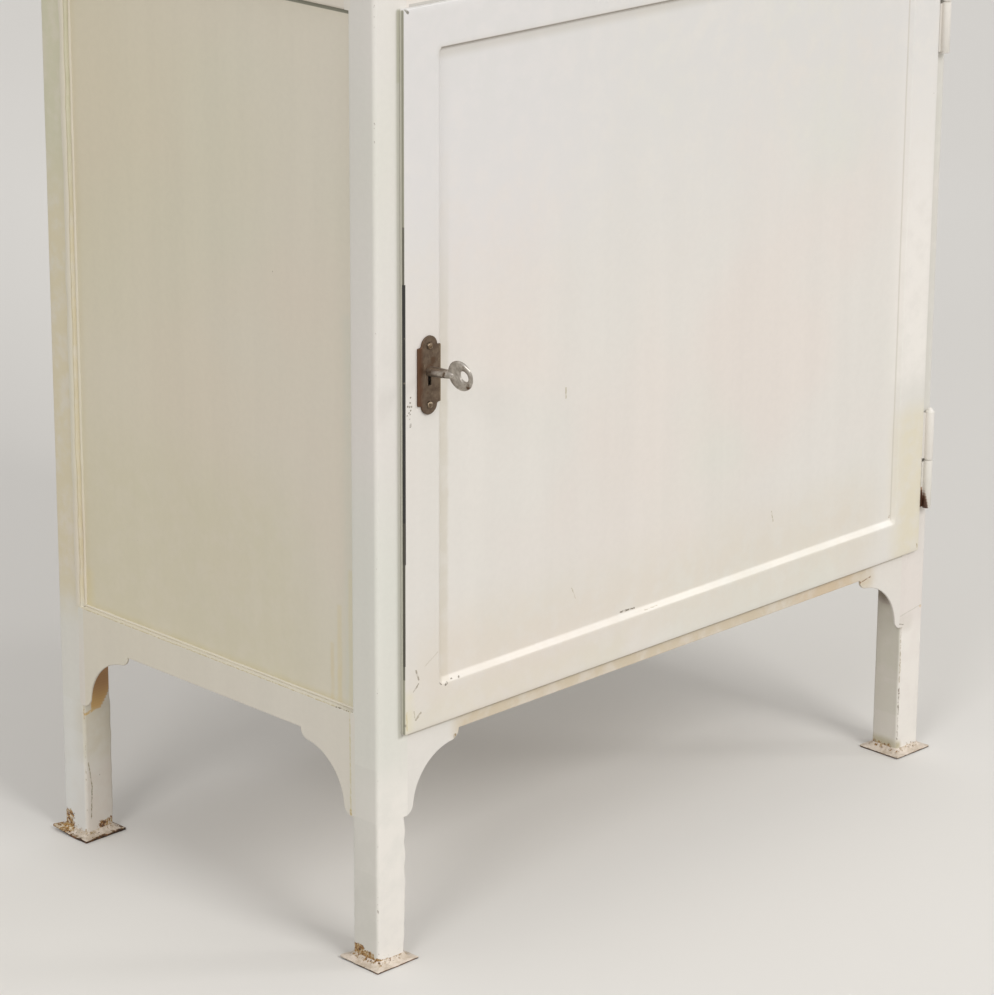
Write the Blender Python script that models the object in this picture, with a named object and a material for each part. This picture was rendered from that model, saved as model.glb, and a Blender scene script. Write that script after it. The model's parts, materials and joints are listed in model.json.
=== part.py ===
"""Tall steel medical cabinet: a lower cupboard with a pressed steel door, and a glazed cupboard above it.

Metres, +Z up. The front faces -Y and the doors hang on the right (+X).
The origin is on the floor, at the centre of the model's bounding box.
"""

import math

import bmesh
import bpy
from mathutils import Matrix, Vector

# Gap left between pieces that touch
GAP = 0.0003

# Welded frame of square tube
WIDTH = 0.600
DEPTH = 0.350
LEG_HEIGHT = 0.1626
LOWER_BAY = 0.498
UPPER_BAY = 0.850
POST = 0.0265
POST_WALL = 0.0015
POST_CORNER = 0.0030
RAIL_HEIGHT = 0.026
RAIL_DEPTH = 0.024
RAIL_WALL = 0.0015
RAIL_CORNER = 0.0020
FRONT_MID_RAIL_HEIGHT = 0.0366
CORNER_STEPS = 4

# Foot plates, and the aprons with a bracket at each end
FOOT_THICKNESS = 0.0045
FOOT_LIP = 0.0067
BRACKET_REACH = 0.053
BRACKET_LOBE = 0.008
BRACKET_HOLLOW_SHIFT = BRACKET_LOBE / 3
BRACKET_STEPS = 10
APRON_THICKNESS = 0.0020
APRON_FLANGE = 0.024

# Sheets and shelves
SHEET = 0.0012
SIDE_INSET = 0.005
DECK_FRONT_INSET = 0.002
BACK_PANEL_RISE = 0.004
TOP_SHEET = 0.0018
CORNICE_REACH = 0.012
CORNICE_HEIGHT = 0.013
CORNICE_LIP = 0.003
CORNICE_STEPS = 6
STEEL_SHELF = 0.002
STEEL_SHELF_HEIGHT = 0.245
STEEL_SHELF_SIDE_ROOM = 0.002
STEEL_SHELF_END_ROOM = 0.0015
RUNNER = 0.015
RUNNER_THICKNESS = 0.0015
GLASS_SHELF = 0.005
GLASS_SHELF_COUNT = 2
GLASS_SHELF_ROOM = 0.0012
BEARER_WIDTH = 0.012
BEARER_HEIGHT = 0.006

# Glazing
PANE = 0.004
PANE_ROOM = 0.0005
BEAD = 0.006
CHANNEL_WEB = 0.0010
CHANNEL_LIP = 0.0050
CHANNEL_INSET = 0.0015

# Doors: how far each laps over the opening, and its build
LOCK_LAP = 0.0037
HINGE_LAP = 0.0127
LOWER_DOOR_BOTTOM_LAP = 0.0153
LOWER_DOOR_TOP_LAP = 0.0123
UPPER_DOOR_LAP = 0.010
DOOR_STANDOFF = 0.0010
DOOR_RIM = 0.0030
DOOR_ROOM = 0.002
DOOR_BODY_DEPTH = 0.009

# Lower door: flat border round a pressed field
LOCK_BORDER = 0.0330
HINGE_BORDER = 0.0296
BOTTOM_BORDER = 0.0288
TOP_BORDER = 0.0303
FIELD_DEPTH = 0.003
FIELD_SLOPE_SIDE = 0.0035
FIELD_SLOPE_BOTTOM = 0.0045
FIELD_SLOPE_TOP = 0.0020
FIELD_CORNER = 0.003

# Upper door: border round the glass, and the rebate that the pane sits in
GLAZED_BORDER = 0.036
REBATE = 0.006

# Lift-off hinges
HINGE_BARREL_RADIUS = 0.0044
HINGE_PIN_RADIUS = 0.00225
HINGE_PIN_LENGTH = 0.030
HINGE_PIN_CLEARANCE = 0.0002
HINGE_HALF_LENGTH = 0.040
HINGE_TIP_RADIUS = 0.0031
HINGE_TIP_HEIGHT = 0.0028
# Shares of the tip's radius and height at each step up from the barrel
HINGE_TIP_STEPS = ((1.0, 0.35), (0.8, 0.8), (0.45, 1.0))
# Shares of the barrel's radius: half the pad's width, and how far behind the axis it starts
HINGE_PAD_HALF_SHARE = 0.75
HINGE_PAD_START_SHARE = 1 / 3
HINGE_EDGE_DISTANCE = 0.007
HINGE_WELD_INSET = 0.0012
LEAF = 0.0024
LEAF_TO_BORE = 0.0006
LOWER_HINGE_INSET = 0.0745
UPPER_HINGE_INSET = 0.100
HINGE_SIDES = 20

# Locks, escutcheons and the key
KEY_BACKSET = 0.0226
KEY_RISE = 0.0045
SHANK_RADIUS = 0.0027
KEY_REACH_TO_BOW = 0.0310
BOW_RADIUS = 0.0115
BOW_THICKNESS = 0.0022
BOW_HOLE_RADIUS = 0.0043
BOW_HOLE_OFFSET = 0.0040
KEY_NECK = 0.0050
KEY_NECK_SHARE = 0.6
KEY_TURN = math.radians(14)
BIT_RADIUS = 0.0085
BIT_WIDTH = 0.0060
BIT_THICKNESS = 0.0020
KEY_TIP_ROOM = 0.0010
KEYHOLE_CLEARANCE = 0.0005
KEYHOLE_SLOT_WIDTH = 0.0030
KEYHOLE_SLOT_DROP = 0.0100
ESCUTCHEON_WIDTH = 0.0216
ESCUTCHEON_BODY = 0.0413
ESCUTCHEON_LOBE = 0.0074
ESCUTCHEON_THICKNESS = 0.0013
ESCUTCHEON_DROP = 0.0028
SCREW_SPACING = 0.042
SCREW_HEAD_RADIUS = 0.0026
SCREW_HEAD_HEIGHT = 0.0014
# Shares of the head's radius and height at each step up from the plate
SCREW_HEAD_STEPS = ((1.0, 0.0), (0.85, 0.6), (0.45, 1.0))
SCREW_SHANK_RADIUS = 0.0012
SCREW_LENGTH = 0.006
SCREW_CLEARANCE = 0.0003
SCREW_SLOT_WIDTH = 0.0008
SCREW_SLOT_DEPTH = 0.0006
LOCK_CASE_WIDTH = 0.030
LOCK_CASE_HEIGHT = 0.058
LOCK_CASE_DEPTH = 0.010
LOCK_CASE_WALL = 0.0010
BOLT_THICKNESS = 0.004
BOLT_HEIGHT = 0.012
BOLT_LENGTH = 0.027
BOLT_CLEARANCE = 0.0003
BIT_CLEARANCE = 0.0008

# Sides used for round pieces, and the least angle of an edge that stays sharp
ROUND_SIDES = 24
BOW_SIDES = 40
SCREW_SIDES = 16
SHARP_EDGE = math.radians(35)

# Places worked out from the sizes above
BOW_END = KEY_REACH_TO_BOW + BOW_RADIUS
DOOR_PROUD = DOOR_STANDOFF + DOOR_RIM
KEY_PROUD = DOOR_PROUD + GAP + ESCUTCHEON_THICKNESS + BOW_END
X0 = -WIDTH / 2
X1 = WIDTH / 2
Y0 = (KEY_PROUD - DEPTH - FOOT_LIP) / 2
Y1 = Y0 + DEPTH
OPEN_X0 = X0 + POST
OPEN_X1 = X1 - POST
POST_FOOT = FOOT_THICKNESS + GAP
BOTTOM_RAIL_TOP = LEG_HEIGHT + RAIL_HEIGHT
MID_RAIL_BOTTOM = BOTTOM_RAIL_TOP + LOWER_BAY
MID_RAIL_TOP = MID_RAIL_BOTTOM + RAIL_HEIGHT
FRONT_MID_RAIL_BOTTOM = MID_RAIL_TOP - FRONT_MID_RAIL_HEIGHT
TOP_RAIL_BOTTOM = MID_RAIL_TOP + UPPER_BAY
TOP_RAIL_TOP = TOP_RAIL_BOTTOM + RAIL_HEIGHT
SIDE_SHEET_INNER = SIDE_INSET + SHEET
BACK_SHEET = Y1 - RAIL_DEPTH - GAP - SHEET
DOOR_FRONT = Y0 - DOOR_PROUD
DOOR_X0 = OPEN_X0 - LOCK_LAP
DOOR_X1 = OPEN_X1 + HINGE_LAP
BODY_FRONT = DOOR_FRONT + SHEET + GAP
BODY_BACK = Y0 + DOOR_BODY_DEPTH
HINGE_X = X1 - HINGE_EDGE_DISTANCE
HINGE_Y = Y0 - HINGE_BARREL_RADIUS - GAP
KEY_X = DOOR_X0 + KEY_BACKSET
ESCUTCHEON_BACK = DOOR_FRONT - GAP
ESCUTCHEON_FRONT = ESCUTCHEON_BACK - ESCUTCHEON_THICKNESS
KEYHOLE_RADIUS = SHANK_RADIUS + KEYHOLE_CLEARANCE
CASE_X0 = OPEN_X0 + DOOR_ROOM + GAP
CASE_X1 = CASE_X0 + LOCK_CASE_WIDTH
CASE_FRONT = BODY_BACK + GAP
CASE_BACK = CASE_FRONT + LOCK_CASE_DEPTH
BOLT_Y0 = (CASE_FRONT + CASE_BACK - LOCK_CASE_WALL - BOLT_THICKNESS) / 2
BOLT_Y1 = BOLT_Y0 + BOLT_THICKNESS
CHANNEL_DEPTH = 2 * BEAD + 2 * GAP + PANE
CHANNEL_INNER = CHANNEL_INSET + CHANNEL_DEPTH


class Door:
    """Where one door is: its opening, its outer edges and its lock, as heights."""

    def __init__(self, opening_bottom, opening_top, bottom_lap, top_lap, hinge_inset):
        self.opening_bottom = opening_bottom
        self.opening_top = opening_top
        self.z0 = opening_bottom - bottom_lap
        self.z1 = opening_top + top_lap
        self.hinge_heights = (self.z0 + hinge_inset, self.z1 - hinge_inset)
        self.key_z = (self.z0 + self.z1) / 2 + KEY_RISE
        self.bolt_z0 = self.key_z + BIT_RADIUS + BIT_CLEARANCE
        self.bolt_z1 = self.bolt_z0 + BOLT_HEIGHT


LOWER_DOOR = Door(
    BOTTOM_RAIL_TOP,
    FRONT_MID_RAIL_BOTTOM,
    LOWER_DOOR_BOTTOM_LAP,
    LOWER_DOOR_TOP_LAP,
    LOWER_HINGE_INSET,
)
UPPER_DOOR = Door(
    MID_RAIL_TOP, TOP_RAIL_BOTTOM, UPPER_DOOR_LAP, UPPER_DOOR_LAP, UPPER_HINGE_INSET
)


# Materials
def material(name, colour, roughness, metallic=0.0, alpha=1.0):
    made = bpy.data.materials.new(name)
    made.use_nodes = True
    shader = made.node_tree.nodes["Principled BSDF"]
    shader.inputs["Base Color"].default_value = (*colour, 1.0)
    shader.inputs["Roughness"].default_value = roughness
    shader.inputs["Metallic"].default_value = metallic
    shader.inputs["Alpha"].default_value = alpha
    return made


# Small mesh tools
def loft(bm, rings, closed=False):
    """Joins rings of equal length with quads, then caps the ends or joins the last ring to the first."""
    rows = [[bm.verts.new(point) for point in ring] for ring in rings]
    pairs = list(zip(rows, rows[1:]))
    if closed:
        pairs.append((rows[-1], rows[0]))
    for near, far in pairs:
        for i in range(len(near)):
            j = (i + 1) % len(near)
            bm.faces.new((near[i], near[j], far[j], far[i]))
    if not closed:
        bm.faces.new(rows[0])
        bm.faces.new(reversed(rows[-1]))


def along_x(a, b, t):
    """Outline in Y and Z, extruded along X."""
    return Vector((t, a, b))


def along_y(a, b, t):
    """Outline in X and Z, extruded along Y."""
    return Vector((a, t, b))


def along_z(a, b, t):
    """Outline in X and Y, extruded along Z."""
    return Vector((a, b, t))


def prism(bm, outline, place, start, end):
    loft(bm, [[place(a, b, t) for a, b in outline] for t in (start, end)])


def tube(bm, outer, inner, place, start, end):
    """Open-ended tube between two outlines that have as many points as each other."""
    rings = [(outer, start), (outer, end), (inner, end), (inner, start)]
    loft(bm, [[place(a, b, t) for a, b in outline] for outline, t in rings], closed=True)


def box(bm, x0, x1, y0, y1, z0, z1):
    prism(bm, rectangle(x0, x1, y0, y1), along_z, z0, z1)


def rectangle(a0, a1, b0, b1):
    return [(a0, b0), (a1, b0), (a1, b1), (a0, b1)]


def inset(edges, left, right=None, bottom=None, top=None):
    """Edges (a0, a1, b0, b1) of a rectangle, moved in on each side; one number moves all four."""
    a0, a1, b0, b1 = edges
    right = left if right is None else right
    bottom = left if bottom is None else bottom
    top = left if top is None else top
    return (a0 + left, a1 - right, b0 + bottom, b1 - top)


def ring(bm, place, section):
    """Rectangular ring. Its section is a closed run of edges and depths."""
    loft(bm, [[place(a, b, t) for a, b in rectangle(*edges)] for edges, t in section], closed=True)


def arc(centre, radius, start, end, steps):
    """Points on an arc, angles in degrees."""
    points = []
    for i in range(steps + 1):
        angle = math.radians(start + (end - start) * i / steps)
        points.append((centre[0] + radius * math.cos(angle), centre[1] + radius * math.sin(angle)))
    return points


def rounded_rectangle(a0, a1, b0, b1, radius, steps=CORNER_STEPS):
    corners = [((a1, b1), 0), ((a0, b1), 90), ((a0, b0), 180), ((a1, b0), 270)]
    middle = ((a0 + a1) / 2, (b0 + b1) / 2)
    points = []
    for (a, b), angle in corners:
        centre = (a - math.copysign(radius, a - middle[0]), b - math.copysign(radius, b - middle[1]))
        points += arc(centre, radius, angle, angle + 90, steps)
    return points


def circle(centre, radius, sides=ROUND_SIDES):
    return arc(centre, radius, 0, 360, sides)[:-1]


def make(name, bm, finish, parent=None, smooth=False):
    """Turns a bmesh into a named object, carried by an empty if it moves."""
    bmesh.ops.recalc_face_normals(bm, faces=bm.faces)
    mesh = bpy.data.meshes.new(name)
    bm.to_mesh(mesh)
    bm.free()
    if smooth:
        mesh.shade_smooth()
        mesh.set_sharp_from_angle(angle=SHARP_EDGE)
    made = bpy.data.objects.new(name, mesh)
    if finish:
        mesh.materials.append(finish)
    bpy.context.scene.collection.objects.link(made)
    if parent:
        made.parent = parent
        made.matrix_parent_inverse = Matrix.Translation(parent["axis_point"]).inverted()
    return made


def axis_empty(name, point, parent=None):
    """An empty on a joint's axis, which carries the pieces that move with the joint."""
    empty = bpy.data.objects.new(name, None)
    empty["axis_point"] = point
    bpy.context.scene.collection.objects.link(empty)
    if parent:
        empty.parent = parent
        empty.matrix_parent_inverse = Matrix.Translation(parent["axis_point"]).inverted()
    empty.location = point
    return empty


def helper(name, bm):
    """A body that only cuts or joins another."""
    made = make(name, bm, None)
    made.hide_render = True
    made.display_type = "WIRE"
    return made


def combine(target, other, operation):
    step = target.modifiers.new(other.name, "BOOLEAN")
    step.operation = operation
    step.solver = "EXACT"
    step.object = other


# Frame
def square_tube(name, finish, place, across, up, span, wall, corner):
    """Open-ended tube; across, up and span are pairs of places, and span runs along the tube."""
    outer = rounded_rectangle(*across, *up, corner)
    inner = rounded_rectangle(
        across[0] + wall, across[1] - wall, up[0] + wall, up[1] - wall, corner - wall / 2
    )
    bm = bmesh.new()
    tube(bm, outer, inner, place, *span)
    return make(name, bm, finish, smooth=True)


def post_places():
    """Name and lowest corner of each post."""
    for depth_name, y in (("front", Y0), ("back", Y1 - POST)):
        for side_name, x in (("left", X0), ("right", X1 - POST)):
            yield f"{depth_name}_{side_name}", x, y


def posts(finish):
    for place_name, x, y in post_places():
        post = square_tube(
            f"post_{place_name}", finish, along_z,
            (x, x + POST), (y, y + POST), (POST_FOOT, TOP_RAIL_TOP), POST_WALL, POST_CORNER,
        )
        if place_name == "front_left":
            for label, door in (("lower", LOWER_DOOR), ("upper", UPPER_DOOR)):
                slot = bolt_passage(f"cut_{label}_keeper_slot", door, OPEN_X0, POST_WALL)
                combine(post, slot, "DIFFERENCE")


def foot_plates(finish):
    for place_name, x, y in post_places():
        bm = bmesh.new()
        box(bm, x - FOOT_LIP, x + POST + FOOT_LIP, y - FOOT_LIP, y + POST + FOOT_LIP, 0, FOOT_THICKNESS)
        make(f"foot_plate_{place_name}", bm, finish)


def front_or_back_rail(name, finish, y, bottom, top):
    square_tube(
        name, finish, along_x, (y, y + RAIL_DEPTH), (bottom, top),
        (OPEN_X0 + GAP, OPEN_X1 - GAP), RAIL_WALL, RAIL_CORNER,
    )


def side_rails(level, finish, bottom, top):
    for side_name, x in (("left", X0), ("right", X1 - RAIL_DEPTH)):
        square_tube(
            f"{level}_rail_{side_name}", finish, along_y, (x, x + RAIL_DEPTH), (bottom, top),
            (Y0 + POST + GAP, Y1 - POST - GAP), RAIL_WALL, RAIL_CORNER,
        )


def rails(finish):
    back = Y1 - RAIL_DEPTH
    front_or_back_rail("bottom_rail_back", finish, back, LEG_HEIGHT, BOTTOM_RAIL_TOP)
    front_or_back_rail("mid_rail_front", finish, Y0, FRONT_MID_RAIL_BOTTOM, MID_RAIL_TOP)
    front_or_back_rail("top_rail_front", finish, Y0, TOP_RAIL_BOTTOM, TOP_RAIL_TOP)
    front_or_back_rail("top_rail_back", finish, back, TOP_RAIL_BOTTOM, TOP_RAIL_TOP)
    side_rails("mid", finish, MID_RAIL_BOTTOM, MID_RAIL_TOP)
    side_rails("top", finish, TOP_RAIL_BOTTOM, TOP_RAIL_TOP)


def bracket_edge(low):
    """Lower edge of a bracket from its tip to the post, as distance out from the post and height."""
    inner = BRACKET_REACH - BRACKET_LOBE
    centre = BRACKET_REACH - BRACKET_HOLLOW_SHIFT
    radius = math.dist((centre, centre), (inner, BRACKET_LOBE))
    swing = math.degrees(math.atan2(centre - BRACKET_LOBE, centre - inner))
    edge = arc((inner, 0), BRACKET_LOBE, 0, 90, BRACKET_STEPS // 2)
    edge += arc((centre, centre), radius, 180 + swing, 270 - swing, BRACKET_STEPS)[1:-1]
    edge += arc((0, inner), BRACKET_LOBE, 0, 90, BRACKET_STEPS // 2)
    return [(out, low - down) for out, down in edge]


def apron(name, finish, place, start, end, outside, inward):
    """Pressed sheet under the body: a face with a bracket at each end, and a flange along its top."""
    top = BOTTOM_RAIL_TOP
    left = [(start + GAP + out, z) for out, z in bracket_edge(LEG_HEIGHT)]
    right = [(end - GAP - out, z) for out, z in reversed(bracket_edge(LEG_HEIGHT))]
    outline = [(start + GAP, top)] + left[::-1] + right[::-1] + [(end - GAP, top)]
    bm = bmesh.new()
    prism(bm, outline, place, outside, outside + inward * APRON_THICKNESS)
    face = make(name, bm, finish)
    bm = bmesh.new()
    prism(
        bm, rectangle(start + GAP, end - GAP, top - APRON_THICKNESS, top),
        place, outside + inward * APRON_THICKNESS / 2, outside + inward * APRON_FLANGE,
    )
    combine(face, helper(f"join_{name}_flange", bm), "UNION")


def aprons(finish):
    apron("front_apron", finish, along_y, OPEN_X0, OPEN_X1, Y0, 1)
    apron("left_apron", finish, along_x, Y0 + POST, Y1 - POST, X0, 1)
    apron("right_apron", finish, along_x, Y0 + POST, Y1 - POST, X1, -1)


# Sheets, decks and the top
def wall_panels(finish):
    for side_name, x in (("left", X0 + SIDE_INSET), ("right", X1 - SIDE_SHEET_INNER)):
        bm = bmesh.new()
        box(
            bm, x, x + SHEET, Y0 + POST + GAP, Y1 - POST - GAP,
            BOTTOM_RAIL_TOP + GAP, MID_RAIL_BOTTOM - GAP,
        )
        make(f"{side_name}_side_panel", bm, finish)
    bm = bmesh.new()
    box(
        bm, OPEN_X0 + GAP, OPEN_X1 - GAP, BACK_SHEET, BACK_SHEET + SHEET,
        LEG_HEIGHT + BACK_PANEL_RISE, TOP_RAIL_TOP - BACK_PANEL_RISE,
    )
    make("back_panel", bm, finish)


def notched_deck(name, rail_top, wall, finish):
    """Sheet that lies on the rails, cut away round the posts. wall is the depth of what closes the sides."""
    side = X0 + wall + GAP
    inner = OPEN_X0 + GAP
    front = Y0 + DECK_FRONT_INSET
    notch = Y0 + POST + GAP
    back_notch = Y1 - POST - GAP
    back = BACK_SHEET - GAP
    left = [(inner, front), (inner, notch), (side, notch)]
    if back > back_notch:
        left += [(side, back_notch), (inner, back_notch), (inner, back)]
    else:
        left.append((side, back))
    outline = left + [(-x, y) for x, y in reversed(left)]
    bm = bmesh.new()
    prism(bm, outline, along_z, rail_top + GAP, rail_top + GAP + SHEET)
    make(name, bm, finish)


def cornice_profile():
    """Moulding under the top sheet: distance out from the frame, and height."""
    reach = CORNICE_REACH - GAP
    top = TOP_RAIL_TOP + GAP + TOP_SHEET / 2
    bottom = TOP_RAIL_TOP - CORNICE_HEIGHT
    hollow = min(reach, CORNICE_HEIGHT) - CORNICE_LIP
    profile = [(GAP, top), (GAP, bottom)]
    profile += arc((reach, bottom), hollow, 180, 90, CORNICE_STEPS)
    profile.append((reach, top))
    return profile


def top_cover(finish):
    """Top sheet with a hollow moulding under its front and side edges."""
    bm = bmesh.new()
    box(
        bm, X0 - CORNICE_REACH, X1 + CORNICE_REACH, Y0 - CORNICE_REACH, Y1,
        TOP_RAIL_TOP + GAP, TOP_RAIL_TOP + GAP + TOP_SHEET,
    )
    cover = make("top_cover", bm, finish, smooth=True)
    bm = bmesh.new()
    profile = cornice_profile()
    back = Y1 - GAP
    corners = ((X0, back, -1, 0), (X0, Y0, -1, -1), (X1, Y0, 1, -1), (X1, back, 1, 0))
    loft(bm, [
        [Vector((x + way_x * out, y + way_y * out, z)) for out, z in profile]
        for x, y, way_x, way_y in corners
    ])
    combine(cover, helper("join_top_moulding", bm), "UNION")


# Shelves
def steel_shelf(paint):
    level = BOTTOM_RAIL_TOP + STEEL_SHELF_HEIGHT
    bm = bmesh.new()
    box(
        bm,
        X0 + SIDE_SHEET_INNER + STEEL_SHELF_SIDE_ROOM,
        X1 - SIDE_SHEET_INNER - STEEL_SHELF_SIDE_ROOM,
        Y0 + POST + STEEL_SHELF_END_ROOM,
        min(BACK_SHEET, Y1 - POST) - STEEL_SHELF_END_ROOM,
        level + GAP,
        level + GAP + STEEL_SHELF,
    )
    make("steel_shelf", bm, paint)
    wall = X0 + SIDE_SHEET_INNER + GAP
    angle = [
        (wall, level),
        (wall, level - RUNNER),
        (wall + RUNNER_THICKNESS, level - RUNNER),
        (wall + RUNNER_THICKNESS, level - RUNNER_THICKNESS),
        (wall + RUNNER, level - RUNNER_THICKNESS),
        (wall + RUNNER, level),
    ]
    for side_name, way in (("left", 1), ("right", -1)):
        bm = bmesh.new()
        prism(bm, [(way * x, z) for x, z in angle], along_y, Y0 + POST + GAP, Y1 - POST - GAP)
        make(f"steel_shelf_runner_{side_name}", bm, paint)


def glass_shelves(glass, paint):
    """Glass shelves at equal heights, each on a bearer between the posts at either side."""
    floor = MID_RAIL_TOP + GAP + SHEET
    spacing = (TOP_RAIL_BOTTOM - floor) / (GLASS_SHELF_COUNT + 1)
    wall = X0 + CHANNEL_INNER + GAP
    for i in range(GLASS_SHELF_COUNT):
        level = floor + spacing * (i + 1)
        bm = bmesh.new()
        box(
            bm,
            wall + GLASS_SHELF_ROOM,
            -wall - GLASS_SHELF_ROOM,
            Y0 + POST + GLASS_SHELF_ROOM,
            min(BACK_SHEET, Y1 - POST) - GLASS_SHELF_ROOM,
            level,
            level + GLASS_SHELF,
        )
        make(f"glass_shelf_{i + 1}", bm, glass)
        for side_name, x in (("left", wall), ("right", -wall - BEARER_WIDTH)):
            bm = bmesh.new()
            box(
                bm, x, x + BEARER_WIDTH, Y0 + POST + GAP, Y1 - POST - GAP,
                level - GAP - BEARER_HEIGHT, level - GAP,
            )
            make(f"glass_shelf_bearer_{i + 1}_{side_name}", bm, paint)


# Side glazing
def side_glazing(glass, paint):
    """A pane at each side of the upper cupboard, held in a channel round its edges."""
    opening = (
        Y0 + POST + GAP, Y1 - POST - GAP,
        MID_RAIL_TOP + GAP, TOP_RAIL_BOTTOM - GAP,
    )
    web = inset(opening, CHANNEL_WEB)
    lip = inset(web, CHANNEL_LIP)
    for side_name, way in (("left", 1), ("right", -1)):
        face = -way * (WIDTH / 2 - CHANNEL_INSET)
        section = [
            (opening, 0),
            (lip, 0),
            (lip, BEAD),
            (web, BEAD),
            (web, CHANNEL_DEPTH - BEAD),
            (lip, CHANNEL_DEPTH - BEAD),
            (lip, CHANNEL_DEPTH),
            (opening, CHANNEL_DEPTH),
        ]
        bm = bmesh.new()
        ring(bm, along_x, [(edges, face + way * depth) for edges, depth in section])
        make(f"{side_name}_glazing_channel", bm, paint)
        bm = bmesh.new()
        prism(
            bm, rectangle(*inset(web, PANE_ROOM)), along_x,
            face + way * (BEAD + GAP), face + way * (BEAD + GAP + PANE),
        )
        make(f"{side_name}_side_glass", bm, glass)


# Doors
def door_face(door):
    return (DOOR_X0, DOOR_X1, door.z0, door.z1)


def body_edges(door):
    """Outer edges of the part of a door that enters its opening."""
    opening = (OPEN_X0, OPEN_X1, door.opening_bottom + GAP + SHEET, door.opening_top)
    return inset(opening, DOOR_ROOM)


def keyhole_outline(door):
    """Round hole with a slot below it, for the key's shank and bit."""
    half = KEYHOLE_SLOT_WIDTH / 2
    shoulder = math.degrees(math.asin(half / KEYHOLE_RADIUS))
    outline = arc((KEY_X, door.key_z), KEYHOLE_RADIUS, -90 + shoulder, 270 - shoulder, ROUND_SIDES)
    low = door.key_z - KEYHOLE_SLOT_DROP
    return outline + [(KEY_X - half, low), (KEY_X + half, low)]


def screw_heights(door):
    middle = door.key_z - ESCUTCHEON_DROP
    return (middle - SCREW_SPACING / 2, middle + SCREW_SPACING / 2)


def lock_holes(piece, door, front, back):
    """Cuts the keyhole and the escutcheon's two screw holes through a piece."""
    bm = bmesh.new()
    prism(bm, keyhole_outline(door), along_y, front, back)
    for z in screw_heights(door):
        prism(bm, circle((KEY_X, z), SCREW_SHANK_RADIUS + SCREW_CLEARANCE), along_y, front, back)
    combine(piece, helper(f"cut_{piece.name}_holes", bm), "DIFFERENCE")


def pressed_skin(door, paint, empty):
    """The lower door's face: one sheet with a folded rim and a field pressed back from the border."""
    face = door_face(door)
    field_top = inset(face, LOCK_BORDER, HINGE_BORDER, BOTTOM_BORDER, TOP_BORDER)
    field_floor = inset(
        field_top, FIELD_SLOPE_SIDE, FIELD_SLOPE_SIDE, FIELD_SLOPE_BOTTOM, FIELD_SLOPE_TOP
    )
    rim_back = DOOR_FRONT + DOOR_RIM
    fold = SHEET / 2
    inner_face = inset(face, SHEET)
    sections = [
        (field_floor, FIELD_CORNER, DOOR_FRONT + FIELD_DEPTH),
        (field_top, FIELD_CORNER, DOOR_FRONT),
        (inset(face, fold), fold, DOOR_FRONT),
        (face, SHEET, DOOR_FRONT + fold),
        (face, SHEET, rim_back),
        (inner_face, fold, rim_back),
        (inner_face, fold, DOOR_FRONT + SHEET),
        (inset(field_top, -fold), FIELD_CORNER, DOOR_FRONT + SHEET),
        (inset(field_floor, -fold), FIELD_CORNER, DOOR_FRONT + FIELD_DEPTH + SHEET),
    ]
    bm = bmesh.new()
    loft(bm, [
        [along_y(x, z, y) for x, z in rounded_rectangle(*edges, corner)]
        for edges, corner, y in sections
    ])
    skin = make("lower_door_skin", bm, paint, empty)
    lock_holes(skin, door, DOOR_FRONT - SHEET, DOOR_FRONT + 2 * SHEET)


def door_liner(door, paint, empty):
    """Tray behind the lower door's face, open towards it."""
    edges = body_edges(door)
    room = inset(edges, SHEET)
    bm = bmesh.new()
    sections = ((edges, BODY_BACK), (edges, BODY_FRONT), (room, BODY_FRONT), (room, BODY_BACK - SHEET))
    loft(bm, [[along_y(x, z, y) for x, z in rectangle(*outline)] for outline, y in sections])
    liner = make("lower_door_liner", bm, paint, empty)
    lock_holes(liner, door, BODY_BACK - 2 * SHEET, BODY_BACK + SHEET)


def glazed_frame(door, glass, paint, empty):
    """The upper door: a hollow frame with a rebate, its pane, and the bead that holds the pane in."""
    face = door_face(door)
    body = body_edges(door)
    aperture = inset(face, GLAZED_BORDER)
    rebate = inset(aperture, -REBATE)
    sheet_back = DOOR_FRONT + SHEET
    rim_back = DOOR_FRONT + DOOR_RIM
    bm = bmesh.new()
    ring(bm, along_y, [
        (face, DOOR_FRONT),
        (aperture, DOOR_FRONT),
        (aperture, sheet_back),
        (rebate, sheet_back),
        (rebate, BODY_BACK),
        (body, BODY_BACK),
        (body, rim_back),
        (face, rim_back),
    ])
    frame = make("upper_door_frame", bm, paint, empty)
    hollow_outer = inset(body, SHEET)
    hollow_inner = inset(rebate, -SHEET)
    bm = bmesh.new()
    ring(bm, along_y, [
        (hollow_outer, sheet_back),
        (hollow_inner, sheet_back),
        (hollow_inner, BODY_BACK - SHEET),
        (hollow_outer, BODY_BACK - SHEET),
    ])
    combine(frame, helper("cut_upper_frame_hollow", bm), "DIFFERENCE")
    lock_holes(frame, door, DOOR_FRONT - SHEET, BODY_BACK + SHEET)
    pane_front = sheet_back + GAP
    pane_back = pane_front + PANE
    bm = bmesh.new()
    prism(bm, rectangle(*inset(rebate, PANE_ROOM)), along_y, pane_front, pane_back)
    make("upper_door_glass", bm, glass, empty)
    bead_edges = inset(rebate, GAP)
    bead_front = pane_back + GAP
    bm = bmesh.new()
    ring(bm, along_y, [
        (bead_edges, bead_front),
        (inset(bead_edges, BEAD), bead_front),
        (inset(bead_edges, BEAD / 2), BODY_BACK),
        (bead_edges, BODY_BACK),
    ])
    make("upper_door_bead", bm, paint, empty)


# Hinges
def turned(steps):
    """Round piece on the hinge axis, from radii and heights."""
    bm = bmesh.new()
    loft(bm, [
        [along_z(x, y, z) for x, y in circle((HINGE_X, HINGE_Y), radius, HINGE_SIDES)]
        for radius, z in steps
    ])
    return bm


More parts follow.
